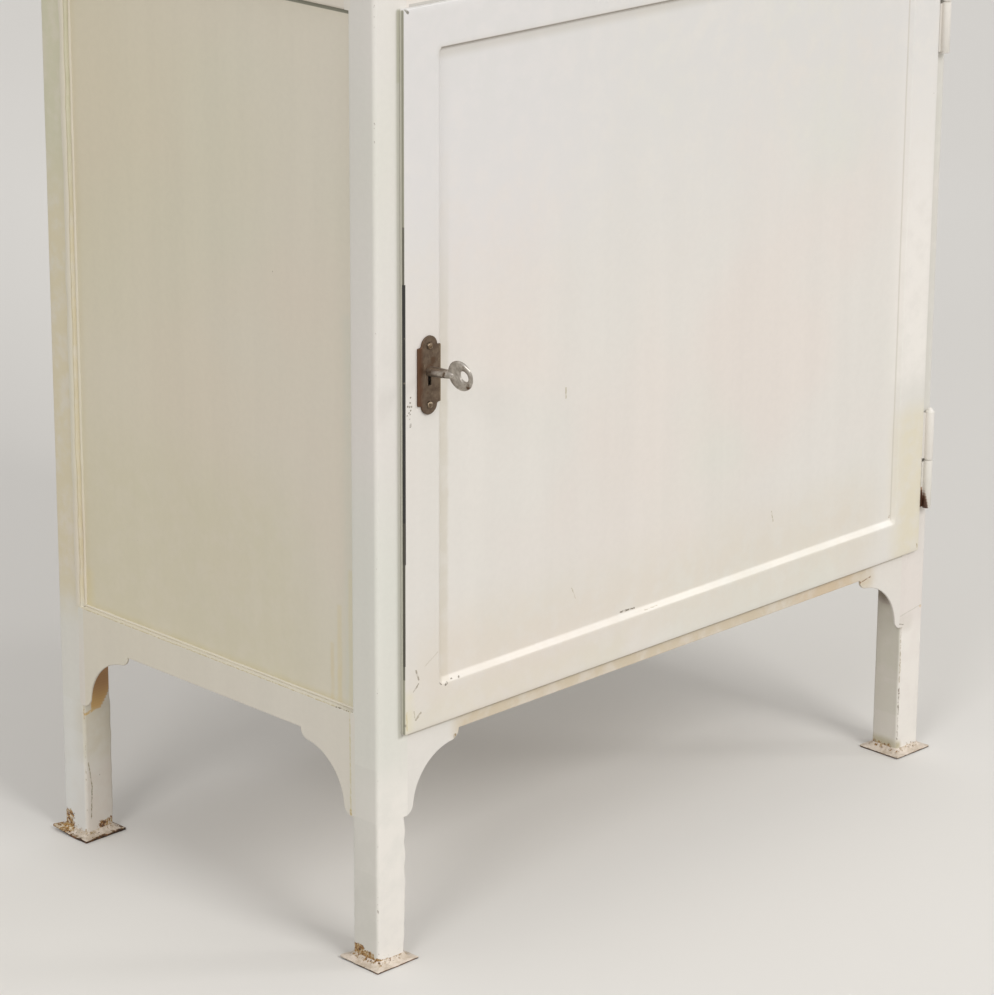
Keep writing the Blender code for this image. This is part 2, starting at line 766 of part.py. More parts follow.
def hinges(label, door, finish, empty):
    """Two lift-off hinges. The upper half turns with the door, the lower half holds the pin and stays."""
    bore = HINGE_PIN_RADIUS + HINGE_PIN_CLEARANCE
    rim_back = DOOR_FRONT + DOOR_RIM
    for place_name, middle in zip(("bottom", "top"), door.hinge_heights):
        low = middle + GAP
        high = middle + HINGE_HALF_LENGTH
        knuckle = make(
            f"{label}_door_knuckle_{place_name}",
            turned([
                (bore, low + HINGE_PIN_LENGTH + GAP),
                (bore, low),
                (HINGE_BARREL_RADIUS, low),
                (HINGE_BARREL_RADIUS, high),
                *[
                    (HINGE_TIP_RADIUS * wide, high + HINGE_TIP_HEIGHT * tall)
                    for wide, tall in HINGE_TIP_STEPS
                ],
            ]),
            finish, empty, smooth=True,
        )
        bm = bmesh.new()
        box(
            bm, DOOR_X1 + GAP, HINGE_X - bore - LEAF_TO_BORE, rim_back - LEAF, rim_back,
            low + HINGE_WELD_INSET, high - HINGE_WELD_INSET,
        )
        combine(knuckle, helper(f"join_{knuckle.name}_leaf", bm), "UNION")
        low = middle - HINGE_HALF_LENGTH
        pintle = make(
            f"{label}_hinge_pintle_{place_name}",
            turned([
                (HINGE_BARREL_RADIUS, low),
                (HINGE_BARREL_RADIUS, middle - GAP),
                (HINGE_PIN_RADIUS, middle - GAP),
                (HINGE_PIN_RADIUS, middle + HINGE_PIN_LENGTH - GAP),
            ]),
            finish, smooth=True,
        )
        half = HINGE_BARREL_RADIUS * HINGE_PAD_HALF_SHARE
        pad_start = HINGE_Y + HINGE_BARREL_RADIUS * HINGE_PAD_START_SHARE
        bm = bmesh.new()
        box(
            bm, HINGE_X - half, HINGE_X + half, pad_start, Y0 - GAP,
            low + HINGE_WELD_INSET, middle - GAP - HINGE_WELD_INSET,
        )
        combine(pintle, helper(f"join_{pintle.name}_pad", bm), "UNION")


# Locks
def escutcheon(label, door, metal, empty):
    """Plate with a round lobe at each end and a keyhole between them."""
    half_width = ESCUTCHEON_WIDTH / 2
    middle = door.key_z - ESCUTCHEON_DROP
    outline = []
    for way, start in ((1, 0), (-1, 180)):
        shoulder = middle + way * ESCUTCHEON_BODY / 2
        outline.append((KEY_X + way * half_width, shoulder))
        outline += arc((KEY_X, shoulder), ESCUTCHEON_LOBE, start, start + 180, ROUND_SIDES // 2)
        outline.append((KEY_X - way * half_width, shoulder))
    bm = bmesh.new()
    prism(bm, outline, along_y, ESCUTCHEON_BACK, ESCUTCHEON_FRONT)
    plate = make(f"{label}_escutcheon", bm, metal, empty)
    lock_holes(plate, door, ESCUTCHEON_FRONT - ESCUTCHEON_THICKNESS, ESCUTCHEON_BACK + ESCUTCHEON_THICKNESS)


def escutcheon_screws(label, door, metal, empty):
    """Round-headed screws with a slot, through the escutcheon and into the door."""
    head_base = ESCUTCHEON_FRONT - GAP
    head_end = head_base - SCREW_HEAD_HEIGHT
    steps = [
        (SCREW_SHANK_RADIUS, head_base + SCREW_LENGTH),
        (SCREW_SHANK_RADIUS, head_base),
        *[
            (SCREW_HEAD_RADIUS * wide, head_base - SCREW_HEAD_HEIGHT * tall)
            for wide, tall in SCREW_HEAD_STEPS
        ],
    ]
    for place_name, z in zip(("bottom", "top"), screw_heights(door)):
        bm = bmesh.new()
        loft(bm, [
            [along_y(x, v, y) for x, v in circle((KEY_X, z), radius, SCREW_SIDES)]
            for radius, y in steps
        ])
        screw = make(f"{label}_escutcheon_screw_{place_name}", bm, metal, empty, smooth=True)
        bm = bmesh.new()
        box(
            bm, KEY_X - SCREW_HEAD_RADIUS, KEY_X + SCREW_HEAD_RADIUS,
            head_end - SCREW_HEAD_HEIGHT, head_end + SCREW_SLOT_DEPTH,
            z - SCREW_SLOT_WIDTH / 2, z + SCREW_SLOT_WIDTH / 2,
        )
        combine(screw, helper(f"cut_{screw.name}_slot", bm), "DIFFERENCE")


def bolt_passage(name, door, wall_x, wall):
    """Cutter that lets the bolt through a wall that lies across X."""
    bm = bmesh.new()
    box(
        bm, wall_x - 2 * wall, wall_x + 2 * wall,
        BOLT_Y0 - BOLT_CLEARANCE, BOLT_Y1 + BOLT_CLEARANCE,
        door.bolt_z0 - BOLT_CLEARANCE, door.bolt_z1 + BOLT_CLEARANCE,
    )
    return helper(name, bm)


def lock_case(label, door, metal, empty):
    """Pressed case on the inner side of the door, open towards the door, with a slot for the bolt."""
    bottom = door.key_z - LOCK_CASE_HEIGHT / 2
    edges = (CASE_X0, CASE_X1, bottom, bottom + LOCK_CASE_HEIGHT)
    room = inset(edges, LOCK_CASE_WALL)
    sections = (
        (edges, CASE_BACK), (edges, CASE_FRONT), (room, CASE_FRONT), (room, CASE_BACK - LOCK_CASE_WALL)
    )
    bm = bmesh.new()
    loft(bm, [[along_y(x, z, y) for x, z in rectangle(*outline)] for outline, y in sections])
    case = make(f"{label}_lock_case", bm, metal, empty)
    combine(case, bolt_passage(f"cut_{label}_case_slot", door, CASE_X0, LOCK_CASE_WALL), "DIFFERENCE")


def lock_bolt(label, door, metal, empty):
    """Bolt, drawn back. It slides towards -X into the post's slot."""
    bm = bmesh.new()
    box(bm, CASE_X0, CASE_X0 + BOLT_LENGTH, BOLT_Y0, BOLT_Y1, door.bolt_z0, door.bolt_z1)
    make(f"{label}_lock_bolt", bm, metal, empty)


def key(label, door, metal, door_empty):
    """Key in its lock, turned a little from upright, with its bit below the shank."""
    axis = Vector((KEY_X, ESCUTCHEON_FRONT, door.key_z))
    empty = axis_empty(f"{label}_key_axis", axis, door_empty)
    turn = Matrix.Translation(axis) @ Matrix.Rotation(-KEY_TURN, 4, "Y") @ Matrix.Translation(-axis)
    bow_y = ESCUTCHEON_FRONT - KEY_REACH_TO_BOW
    tip = CASE_BACK - LOCK_CASE_WALL - KEY_TIP_ROOM

    bow = bmesh.new()
    outer = circle((bow_y, door.key_z), BOW_RADIUS, BOW_SIDES)
    hole = circle((bow_y - BOW_HOLE_OFFSET, door.key_z), BOW_HOLE_RADIUS, BOW_SIDES)
    tube(bow, outer, hole, along_x, KEY_X - BOW_THICKNESS / 2, KEY_X + BOW_THICKNESS / 2)
    shank = bmesh.new()
    shank_start = bow_y + BOW_RADIUS - KEY_NECK
    neck = SHANK_RADIUS * KEY_NECK_SHARE
    steps = [(neck, shank_start), (SHANK_RADIUS, shank_start + KEY_NECK), (SHANK_RADIUS, tip)]
    loft(shank, [
        [along_y(x, z, y) for x, z in circle((KEY_X, door.key_z), radius)]
        for radius, y in steps
    ])
    bit = bmesh.new()
    bit_end = tip - KEY_TIP_ROOM
    box(
        bit, KEY_X - BIT_THICKNESS / 2, KEY_X + BIT_THICKNESS / 2, bit_end - BIT_WIDTH, bit_end,
        door.key_z - BIT_RADIUS, door.key_z - SHANK_RADIUS / 2,
    )
    for shape in (bow, shank, bit):
        bmesh.ops.transform(shape, matrix=turn, verts=shape.verts)
    made = make(f"{label}_key", bow, metal, empty, smooth=True)
    combine(made, helper(f"join_{label}_key_shank", shank), "UNION")
    combine(made, helper(f"join_{label}_key_bit", bit), "UNION")


def main():
    for old in list(bpy.data.objects):
        bpy.data.objects.remove(old)

    frame_paint = material("frame_paint", (0.80, 0.79, 0.70), 0.35)
    door_paint = material("door_paint", (0.82, 0.80, 0.74), 0.35)
    foot_paint = material("foot_paint", (0.60, 0.52, 0.42), 0.6)
    plate_metal = material("plate_metal", (0.28, 0.22, 0.17), 0.45, 0.9)
    key_metal = material("key_metal", (0.42, 0.39, 0.35), 0.35, 1.0)
    lock_metal = material("lock_metal", (0.36, 0.34, 0.31), 0.5, 0.9)
    glass = material("glass", (0.90, 0.96, 0.94), 0.05, 0.0, 0.35)

    posts(frame_paint)
    foot_plates(foot_paint)
    rails(frame_paint)
    aprons(frame_paint)
    wall_panels(frame_paint)
    notched_deck("cabinet_floor", BOTTOM_RAIL_TOP, SIDE_SHEET_INNER, frame_paint)
    notched_deck("middle_deck", MID_RAIL_TOP, CHANNEL_INNER, frame_paint)
    top_cover(frame_paint)
    steel_shelf(frame_paint)
    glass_shelves(glass, frame_paint)
    side_glazing(glass, frame_paint)

    lower = axis_empty("lower_door_axis", Vector((HINGE_X, HINGE_Y, LOWER_DOOR.z0)))
    upper = axis_empty("upper_door_axis", Vector((HINGE_X, HINGE_Y, UPPER_DOOR.z0)))
    pressed_skin(LOWER_DOOR, door_paint, lower)
    door_liner(LOWER_DOOR, door_paint, lower)
    glazed_frame(UPPER_DOOR, glass, door_paint, upper)
    for label, door, empty in (("lower", LOWER_DOOR, lower), ("upper", UPPER_DOOR, upper)):
        hinges(label, door, frame_paint, empty)
        escutcheon(label, door, plate_metal, empty)
        lock_case(label, door, lock_metal, empty)
        lock_bolt(label, door, lock_metal, empty)
    escutcheon_screws("lower", LOWER_DOOR, plate_metal, lower)
    key("lower", LOWER_DOOR, key_metal, lower)


main()
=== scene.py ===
"""Tall steel medical cabinet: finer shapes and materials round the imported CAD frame.

Metres, +Z up, in the CAD's own frame. The front faces -Y and the doors hang on the right (+X).
"""

import json
import math

import bmesh
import bpy
from mathutils import Matrix, Vector, noise


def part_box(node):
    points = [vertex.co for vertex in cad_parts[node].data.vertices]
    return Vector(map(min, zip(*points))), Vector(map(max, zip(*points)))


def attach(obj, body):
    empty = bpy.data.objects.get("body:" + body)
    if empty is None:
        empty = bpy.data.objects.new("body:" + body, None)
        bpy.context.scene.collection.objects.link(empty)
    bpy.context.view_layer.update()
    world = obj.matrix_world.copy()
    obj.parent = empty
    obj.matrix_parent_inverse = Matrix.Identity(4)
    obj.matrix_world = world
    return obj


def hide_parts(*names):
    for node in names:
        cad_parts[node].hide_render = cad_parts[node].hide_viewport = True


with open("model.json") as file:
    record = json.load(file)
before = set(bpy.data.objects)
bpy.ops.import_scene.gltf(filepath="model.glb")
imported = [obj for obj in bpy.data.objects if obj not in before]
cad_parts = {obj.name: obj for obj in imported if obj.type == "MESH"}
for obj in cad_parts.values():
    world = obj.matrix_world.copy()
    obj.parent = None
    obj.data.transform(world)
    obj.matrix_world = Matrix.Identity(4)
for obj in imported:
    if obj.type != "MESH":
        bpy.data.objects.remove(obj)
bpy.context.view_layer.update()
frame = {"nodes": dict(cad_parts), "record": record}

BODY_OF = {node: body for body, nodes in frame["record"]["behaviour"]["bodies"].items() for node in nodes}

MM = 0.001
X, Y, Z = range(3)

# Camera, fitted to the photograph
CAMERA_PLACE = Vector((-2.088908, -2.055684, 1.233016))
CAMERA_YAW = math.radians(45.0628)
CAMERA_PITCH = math.radians(-18.6132)
CAMERA_ROLL = math.radians(0.3123)
FOCAL_PIXELS = 4035.77
IMAGE_LONG_SIDE = 995
SENSOR = 36.0

# Lamps: direction that the light comes from, distance, width and power
LAMPS = {
    "front_lamp": ((-0.062, -0.80, 0.60), 12.0, 4.2, 562),
    "left_lamp": ((-0.803, -0.324, 0.5), 9.0, 2.7, 175),
    "right_lamp": ((0.69, -0.62, 0.38), 9.0, 1.6, 95),
}
LAMP_AIM = Vector((0, 0, 0.35))
AMBIENT = 0.59
BACKDROP = 0.94
FLOOR_SIZE = 30.0

# Sizes that the CAD source names too
TUBE_WALL = 0.0015
POST_CORNER = 0.0030
RAIL_CORNER = 0.0020
BRACKET_REACH = 0.053
BRACKET_LOBE = 0.008
APRON_THICKNESS = 0.0020
LEG_HEIGHT = 0.1626
SHEET = 0.0012
DOOR_RIM = 0.0030
DOOR_BORDERS = (0.0330, 0.0296, 0.0288, 0.0303)
FIELD_DEPTH = 0.0030
FIELD_SLOPES = (0.0035, 0.0035, 0.0045, 0.0020)
GLAZED_BORDER = 0.036
REBATE = 0.006
HINGE_PIN_RADIUS = 0.00225
HINGE_BORE = 0.00245
HINGE_PIN_LENGTH = 0.030
HINGE_BARREL_RADIUS = 0.0044
SHANK_RADIUS = 0.0027
KEYHOLE_RADIUS = 0.0037
KEYHOLE_SLOT = 0.0030
KEYHOLE_DROP = 0.0100
SCREW_HOLE_RADIUS = 0.0015
ESCUTCHEON_LOBE = 0.0074
ESCUTCHEON_BODY = 0.0413
ESCUTCHEON_DROP = 0.0028
SCREW_SPACING = 0.042
KEY_X = -0.2546
KEY_Z = {"lower": 0.4353, "upper": 1.1421}
KEY_TURN = math.radians(14)

# Sizes and steps of the dressed pieces alone
FOOT_SUNK = 0.0022
LEG_DETAIL = 0.17
HINGE_SKIN = 0.0009
RIM_REACH = 0.00093
DOOR_ROLL = 0.0007
DOOR_CORNER = 0.0013
BOLT_ROOM = 0.0003
LOCK_ROOM = 0.002
KEY_TILT = 0.12
BOW_RADIUS = 0.0115
SCREW_HEAD = 0.0026
SCREW_HEIGHT = 0.0014
WELD_STEP = 0.003
BEAD_STEP = 0.005
PANEL_STEP = 0.018

# Smoothing
SHARP = 32
BEVEL_STEPS = 3


# Outlines and lofts

def arc(centre, radius, start, end, steps):
    """Points on an arc, angles in degrees."""
    angles = [math.radians(start + (end - start) * i / steps) for i in range(steps + 1)]
    return [(centre[0] + radius * math.cos(angle), centre[1] + radius * math.sin(angle)) for angle in angles]


def circle(centre, radius, sides):
    return arc(centre, radius, 0, 360, sides)[:-1]


def outline(edges, radius, corner_steps=5, side_steps=1):
    """Rounded rectangle (a0, a1, b0, b1); outlines of the same steps have as many points as each other."""
    a0, a1, b0, b1 = edges
    corners = [
        arc((a - way_a * radius, b - way_b * radius), radius, angle, angle + 90, corner_steps)
        for a, b, way_a, way_b, angle in (
            (a1, b1, 1, 1, 0), (a0, b1, -1, 1, 90), (a0, b0, -1, -1, 180), (a1, b0, 1, -1, 270)
        )
    ]
    points = []
    for corner, following in zip(corners, corners[1:] + corners[:1]):
        (a, b), (c, d) = corner[-1], following[0]
        shares = [step / side_steps for step in range(1, side_steps)]
        points += corner + [(a + (c - a) * share, b + (d - b) * share) for share in shares]
    return points


def inset(edges, left, right=None, bottom=None, top=None):
    """Edges of a rectangle moved in on each side; one number moves all four."""
    a0, a1, b0, b1 = edges
    if right is None:
        right = bottom = top = left
    return (a0 + left, a1 - right, b0 + bottom, b1 - top)


def edges_of(node, axis):
    """Edges (a0, a1, b0, b1) of a node's box, seen along an axis."""
    low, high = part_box(node)
    a, b = other_axes(axis)
    return (low[a], high[a], low[b], high[b])


def other_axes(axis):
    return [other for other in (X, Y, Z) if other != axis]


def point(axis, a, b, t):
    """Point t along an axis, with a and b along the other two."""
    values = [a, b]
    values.insert(axis, t)
    return Vector(values)


def loft(bm, rings, closed=False):
    """Joins rings of equal length with quads, then caps the ends or joins the last ring to the first."""
    rows = [[bm.verts.new(spot) for spot in ring] for ring in rings]
    pairs = list(zip(rows, rows[1:]))
    if closed:
        pairs.append((rows[-1], rows[0]))
    for near, far in pairs:
        for i in range(len(near)):
            j = (i + 1) % len(near)
            bm.faces.new((near[i], near[j], far[j], far[i]))
    if not closed:
        bm.faces.new(rows[0])
        bm.faces.new(reversed(rows[-1]))
    return bm


def lofted(axis, sections, closed=False):
    """New bmesh from sections, each an outline and its place along the axis."""
    return loft(bmesh.new(), [[point(axis, a, b, t) for a, b in shape] for shape, t in sections], closed)


def box(x0, x1, y0, y1, z0, z1):
    shape = [(x0, y0), (x1, y0), (x1, y1), (x0, y1)]
    return lofted(Z, [(shape, z0), (shape, z1)])


def profile(*groups):
    """Rows of metres from groups (base, level, row, ...).

    A row gives millimetres past the base and past the level, and any further measure of its own.
    """
    return [
        (base + out * MM, level + up * MM, *[value * MM for value in more])
        for base, level, *rows in groups for out, up, *more in rows
    ]


def rims(edges, level, *rows):
    """Sections (edges, corner radius, depth) from rows in millimetres: inset, radius, depth."""
    return [(inset(edges, far * MM), radius * MM, level + deep * MM) for far, radius, deep in rows]


def rolled_edge(face, angles):
    """Sections of a door's rounded outer edge."""
    sections = []
    for swing in map(math.radians, angles):
        away = DOOR_ROLL * (1 - math.cos(swing))
        depth = DOOR_ROLL * (1 - math.sin(swing))
        sections.append((inset(face, away), DOOR_CORNER - 0.5 * away, DOOR_FRONT + depth))
    return sections


def turned(centre, steps, axis=Z, sides=32):
    """Round solid from radii and the places along its axis."""
    return lofted(axis, [(circle(centre, radius, sides), t) for radius, t in steps])


def spread(start, end, steps):
    return [start + (end - start) * i / steps for i in range(steps + 1)]


def smoothstep(value, low, high):
    share = min(max((value - low) / (high - low), 0), 1)
    return share * share * (3 - 2 * share)


# Mesh work

def linked(name, data):
    made = bpy.data.objects.new(name, data)
    bpy.context.scene.collection.objects.link(made)
    return made


def mesh_object(name, bm):
    """New object from a bmesh, which is used up."""
    mesh = bpy.data.meshes.new(name)
    bm.to_mesh(mesh)
    bm.free()
    return linked(name, mesh)


def bevel(bm, edges, width, steps):
    bmesh.ops.bevel(
        bm, geom=edges, offset=width, segments=steps, profile=0.5, affect="EDGES", clamp_overlap=True
    )


def soften(bm, width, angle=30, steps=BEVEL_STEPS):
    """Rounds every edge sharper than the angle."""
    bevel(bm, [
        edge for edge in bm.edges
        if len(edge.link_faces) == 2 and edge.calc_face_angle() > math.radians(angle)
    ], width, steps)
    return bm


def boolean(bm, other, operation="DIFFERENCE"):
    """One closed bmesh combined with another; both are used up."""
    for source in (bm, other):
        bmesh.ops.recalc_face_normals(source, faces=source.faces)
    made = [mesh_object("work", source) for source in (bm, other)]
    step = made[0].modifiers.new("work", "BOOLEAN")
    step.operation = operation
    step.solver = "EXACT"
    step.object = made[1]
    result = bmesh.new()
    result.from_object(made[0], bpy.context.evaluated_depsgraph_get())
    for thing in made:
        bpy.data.objects.remove(thing)
    return result


def rumple(bm, axis, amount, scale, seed, weight=None):
    """Moves points along one axis by smooth noise that depends on the other two."""
    for vert in bm.verts:
        sample = vert.co * scale
        sample[axis] = seed
        share = weight(vert.co) if weight else 1
        vert.co[axis] += amount * share * noise.noise(sample)


def piece(name, bm, finish, nodes=(), like=None, weighted=False, sharp=SHARP):
    """Turns a bmesh into a piece. It rides as its first node does, or as like does."""
    bmesh.ops.recalc_face_normals(bm, faces=bm.faces)
    made = mesh_object(name, bm)
    made.data.shade_smooth()
    made.data.set_sharp_from_angle(angle=math.radians(sharp))
    for one in finish if isinstance(finish, tuple) else (finish,):
        made.data.materials.append(one)
    if weighted:
        made.modifiers.new("Even shading", "WEIGHTED_NORMAL").keep_sharp = True
    model = like or nodes[0]
    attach(made, BODY_OF[model])
    if nodes:
        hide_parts(*nodes)


def softened_node(node, width, steps=BEVEL_STEPS):
    """The node's solid as a bmesh with whole flat faces and rounded edges."""
    bm = bmesh.new()
    bm.from_mesh(frame["nodes"][node].data)
    bmesh.ops.remove_doubles(bm, verts=bm.verts, dist=1e-6)
    bmesh.ops.dissolve_limit(bm, angle_limit=math.radians(0.5), verts=bm.verts, edges=bm.edges)
    return soften(bm, width, steps=steps)


def rounded(node, name, width, finish):
    """The node's own shape with its edges rounded by so many millimetres."""
    piece(name, softened_node(node, width * MM), finish, (node,), weighted=True)


# Shader nodes

def srgb(red, green, blue):
    """Linear colour from the 0 to 255 numbers that a picture shows."""
    parts = [value / 255 for value in (red, green, blue)]
    return (*[part / 12.92 if part <= 0.04045 else ((part + 0.055) / 1.055) ** 2.4 for part in parts], 1.0)


class Nodes:
    """A node tree with short calls that add nodes. Colours are given as srgb takes them."""

    def __init__(self, tree):
        self.tree = tree

    def node(self, kind, *inputs, **settings):
        """Adds a node with its settings and fills its sockets in their order."""
        made = self.tree.nodes.new("ShaderNode" + kind)
        for key, value in settings.items():
            setattr(made, key, value)
        for value, socket in zip(inputs, made.inputs):
            self.put(value, socket)
        return made

    def put(self, value, socket):
        if isinstance(value, bpy.types.NodeSocket):
            self.tree.links.new(value, socket)
        elif value is not None:
            socket.default_value = srgb(*value) if socket.type == "RGBA" else value

    def math(self, operation, first, second=None, clamp=False):
        return self.node("Math", first, second, operation=operation, use_clamp=clamp).outputs[0]

    def plus(self, first, second):
        return self.math("ADD", first, second)

    def minus(self, first, second):
        return self.math("SUBTRACT", first, second)

    def times(self, first, second):
        return self.math("MULTIPLY", first, second)

    def most(self, first, second):
        return self.math("MAXIMUM", first, second)

    def seen(self):
        """1 for rays that show the surroundings: to the camera, in a gloss or through glass."""
        path = self.node("LightPath").outputs
        direct = self.most(path["Is Camera Ray"], path["Is Glossy Ray"])
        return self.most(direct, path["Is Transmission Ray"])


class Shade(Nodes):
    """One material on a Principled shader."""

    def __init__(self, name):
        self.material = bpy.data.materials.new(name)
        self.material.use_nodes = True
        super().__init__(self.material.node_tree)
        self.place = self.node("TexCoord").outputs["Object"]

    def set(self, **values):
        """Puts values on the shader, underscores standing for spaces, and returns the material."""
        for key, value in values.items():
            self.put(value, self.tree.nodes["Principled BSDF"].inputs[key.replace("_", " ")])
        return self.material

    def vector(self, operation, first, second=None, result="Vector"):
        inputs = (first, None, None, second) if operation == "SCALE" else (first, second)
        return self.node("VectorMath", *inputs, operation=operation).outputs[result]

    def split(self, vector):
        return self.node("SeparateXYZ", vector).outputs

    def length(self, vector):
        return self.vector("LENGTH", vector, result="Value")

    def noise(self, scale, detail=2.0, roughness=0.5, stretch=None, shift=None, output="Fac"):
        place = self.place
        if shift:
            place = self.vector("ADD", place, shift)
        if stretch:
            place = self.vector("MULTIPLY", place, stretch)
        return self.node("TexNoise", place, None, scale, detail, roughness).outputs[output]

    def step(self, value, low, high, start=0.0, end=1.0):
        """Smooth step from start at low to end at high."""
        made = self.node("MapRange", value, low, high, start, end, interpolation_type="SMOOTHSTEP")
        return made.outputs[0]

    def mix(self, share, first, second, blend="MIX"):
        inputs = (share, *[None] * 5, first, second)
        return self.node("Mix", *inputs, data_type="RGBA", blend_type=blend).outputs[2]

    def ramp(self, value, stops):
        made = self.node("ValToRGB", value)
        band = made.color_ramp
        while len(band.elements) < len(stops):
            band.elements.new(0.5)
        for element, (place, colour) in zip(band.elements, stops):
            element.position = place
            element.color = srgb(*colour)
        return made.outputs[0]

    def bump(self, height, distance, strength):
        made = self.node("Bump", strength, distance * MM)
        self.put(height, made.inputs["Height"])
        return made.outputs[0]

    def wobbled(self, scale, amount):
        """Object coordinates shaken by noise, up to so many millimetres, for ragged outlines."""
        shake = self.vector("SUBTRACT", self.noise(scale, 3, 0.6, output="Color"), (0.5, 0.5, 0.5))
        return self.vector("ADD", self.place, self.vector("SCALE", shake, amount * MM))

    def from_stroke(self, place, start, end):
        """Distance to the line between two points."""
        start, line = Vector(start), Vector(end) - Vector(start)
        away = self.vector("SUBTRACT", place, tuple(start))
        share = self.vector("DOT_PRODUCT", away, tuple(line / line.length_squared), "Value")
        share = self.math("MULTIPLY", share, 1.0, clamp=True)
        return self.length(self.vector("SUBTRACT", away, self.vector("SCALE", tuple(line), share)))

    def from_box(self, place, low, high):
        """Distance to a box; nothing inside it."""
        away = self.vector("ABSOLUTE", self.vector("SUBTRACT", place, tuple((low + high) / 2)))
        away = self.vector("SUBTRACT", away, tuple((high - low) / 2))
        return self.length(self.vector("MAXIMUM", away, (0, 0, 0)))

    def on_stroke(self, place, start, end, reach, core=0.0):
        """1 on a line given in millimetres, 0 past its reach; it falls from that share of the reach."""
        start, end = [[value * MM for value in spot] for spot in (start, end)]
        return self.step(self.from_stroke(place, start, end), core * reach * MM, reach * MM, 1.0, 0.0)

    def in_box(self, place, edges, fade, strength=1.0):
        """The strength inside a box given in millimetres, falling to nothing round it."""
        x0, x1, y0, y1, z0, z1 = [value * MM for value in edges]
        distance = self.from_box(place, Vector((x0, y0, z0)), Vector((x1, y1, z1)))
        return self.step(distance, 0, fade * MM, strength, 0.0)

    def eaten(self, grain, spots, breaks, ends):
        """Where the grain breaks through near any spot, each a mask and how far it lifts the grain."""
        total = None
        for near, level in spots:
            value = self.plus(grain, self.times(near, level))
            mask = self.times(self.step(value, *breaks), self.step(near, *ends))
            total = mask if total is None else self.most(total, mask)
        return total


# Stage

def make_camera():
    data = bpy.data.cameras.new("photo_camera")
    data.sensor_width = SENSOR
    data.lens = FOCAL_PIXELS * SENSOR / IMAGE_LONG_SIDE
    data.clip_end = 100
    camera = linked("photo_camera", data)
    place = Matrix.Translation(CAMERA_PLACE)
    for angle, axis in ((-CAMERA_YAW, "Z"), (math.pi / 2 + CAMERA_PITCH, "X"), (CAMERA_ROLL, "Z")):
        place = place @ Matrix.Rotation(angle, 4, axis)
    camera.matrix_world = place
    bpy.context.scene.camera = camera


def make_lamp(name, direction, distance, width, power):
    data = bpy.data.lights.new(name, "AREA")
    data.size = width
    data.energy = power
    way = Vector(direction).normalized()
    made = linked(name, data)
    made.location = LAMP_AIM + way * distance
    made.rotation_mode = "QUATERNION"
    made.rotation_quaternion = way.to_track_quat("Z", "Y")


def make_world():
    world = bpy.data.worlds.new("studio")
    bpy.context.scene.world = world
    world.use_nodes = True
    studio = Nodes(world.node_tree)
    shader = world.node_tree.nodes["Background"]
    strength = studio.node("MapRange", studio.seen(), None, None, AMBIENT, BACKDROP).outputs[0]
    studio.put(strength, shader.inputs["Strength"])
    studio.put((255, 255, 255), shader.inputs["Color"])


def make_floor():
    """Pale floor that sends back the warm light of boards."""
    bm = bmesh.new()
    half = FLOOR_SIZE / 2
    corners = ((-half, -half), (half, -half), (half, half), (-half, half))
    bm.faces.new([bm.verts.new((x, y, 0)) for x, y in corners])
    floor = mesh_object("studio_floor", bm)
    shade = Shade("pale_floor")
    pale = shade.mix(shade.noise(0.7, 3), (224, 220, 214), (229, 226, 221))
    colour = shade.mix(shade.seen(), (176, 170, 162), pale)
    floor.data.materials.append(shade.set(Base_Color=colour, Roughness=0.8))


make_camera()
for name, settings in LAMPS.items():
    make_lamp(name, *settings)
make_world()
make_floor()
bpy.context.scene.view_settings.view_transform = "Standard"


# Sizes from the frame

POST_LOW, POST_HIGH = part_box("post_front_left")
X0, Y0 = POST_LOW.x, POST_LOW.y
X1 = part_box("post_front_right")[1].x
Y1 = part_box("post_back_left")[1].y
MIDDLE_Y = (Y0 + Y1) / 2
POST = POST_HIGH.x - X0
OPEN_X0, OPEN_X1 = X0 + POST, X1 - POST
OPEN_Y0, OPEN_Y1 = Y0 + POST, Y1 - POST
OPEN_X = ((OPEN_X0, 1), (OPEN_X1, -1))
OPEN_Y = ((OPEN_Y0, 1), (OPEN_Y1, -1))
FLANGE_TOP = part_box("front_apron")[1].z
BRACKET_LOW = LEG_HEIGHT - BRACKET_REACH
DOOR_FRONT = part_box("lower_door_skin")[0].y
DOOR_X1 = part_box("lower_door_skin")[1].x
FOOT_PLACE = (X1 - POST / 2, (Y1 - Y0 - POST) / 2)

# Planes that marks lie on, and the apron's top, in millimetres
DOOR_FACE = DOOR_FRONT / MM
FIELD_FACE = (DOOR_FRONT + FIELD_DEPTH) / MM
POST_FACE = Y0 / MM
BACK_FACE = OPEN_Y1 / MM
LEFT_FACE = X0 / MM
LEG_FACE = OPEN_X1 / MM
APRON_TOP = FLANGE_TOP / MM

# Planes near those of the lower door's border and field and of the posts, for the boxes of stains and
# painted shade
DOOR_PLANE = -158
FIELD_PLANE = -155
POST_PLANE = -154


# Materials

CREAM = (226, 222, 216)
PINKISH = (228, 219, 212)
GREENISH = (220, 221, 211)
YELLOWED = (216, 204, 168)
DIRT = (150, 136, 112)
BARE = (86, 74, 62)
SCRATCHED = (120, 110, 94)
BROWN = (146, 110, 76)
FAINT = (190, 180, 158)
# Dirt and painted shade of the gap between a door's rim and the post
GAP_DIRT_AND_SHADE = (70, 67, 56)
OLIVE = (156, 154, 134)
SHADED = (172, 170, 157)
PALE_LEG = (238, 233, 225)
RUST_STOPS = [
    (0.38, (46, 32, 24)), (0.44, (112, 74, 44)), (0.48, (184, 128, 62)), (0.50, (118, 108, 66)),
    (0.53, (212, 176, 108)), (0.56, (132, 116, 110)), (0.60, (226, 214, 190)),
]
RUSTED_CORNER = (-307, -301, 189.7, 202.7, 0, 8)


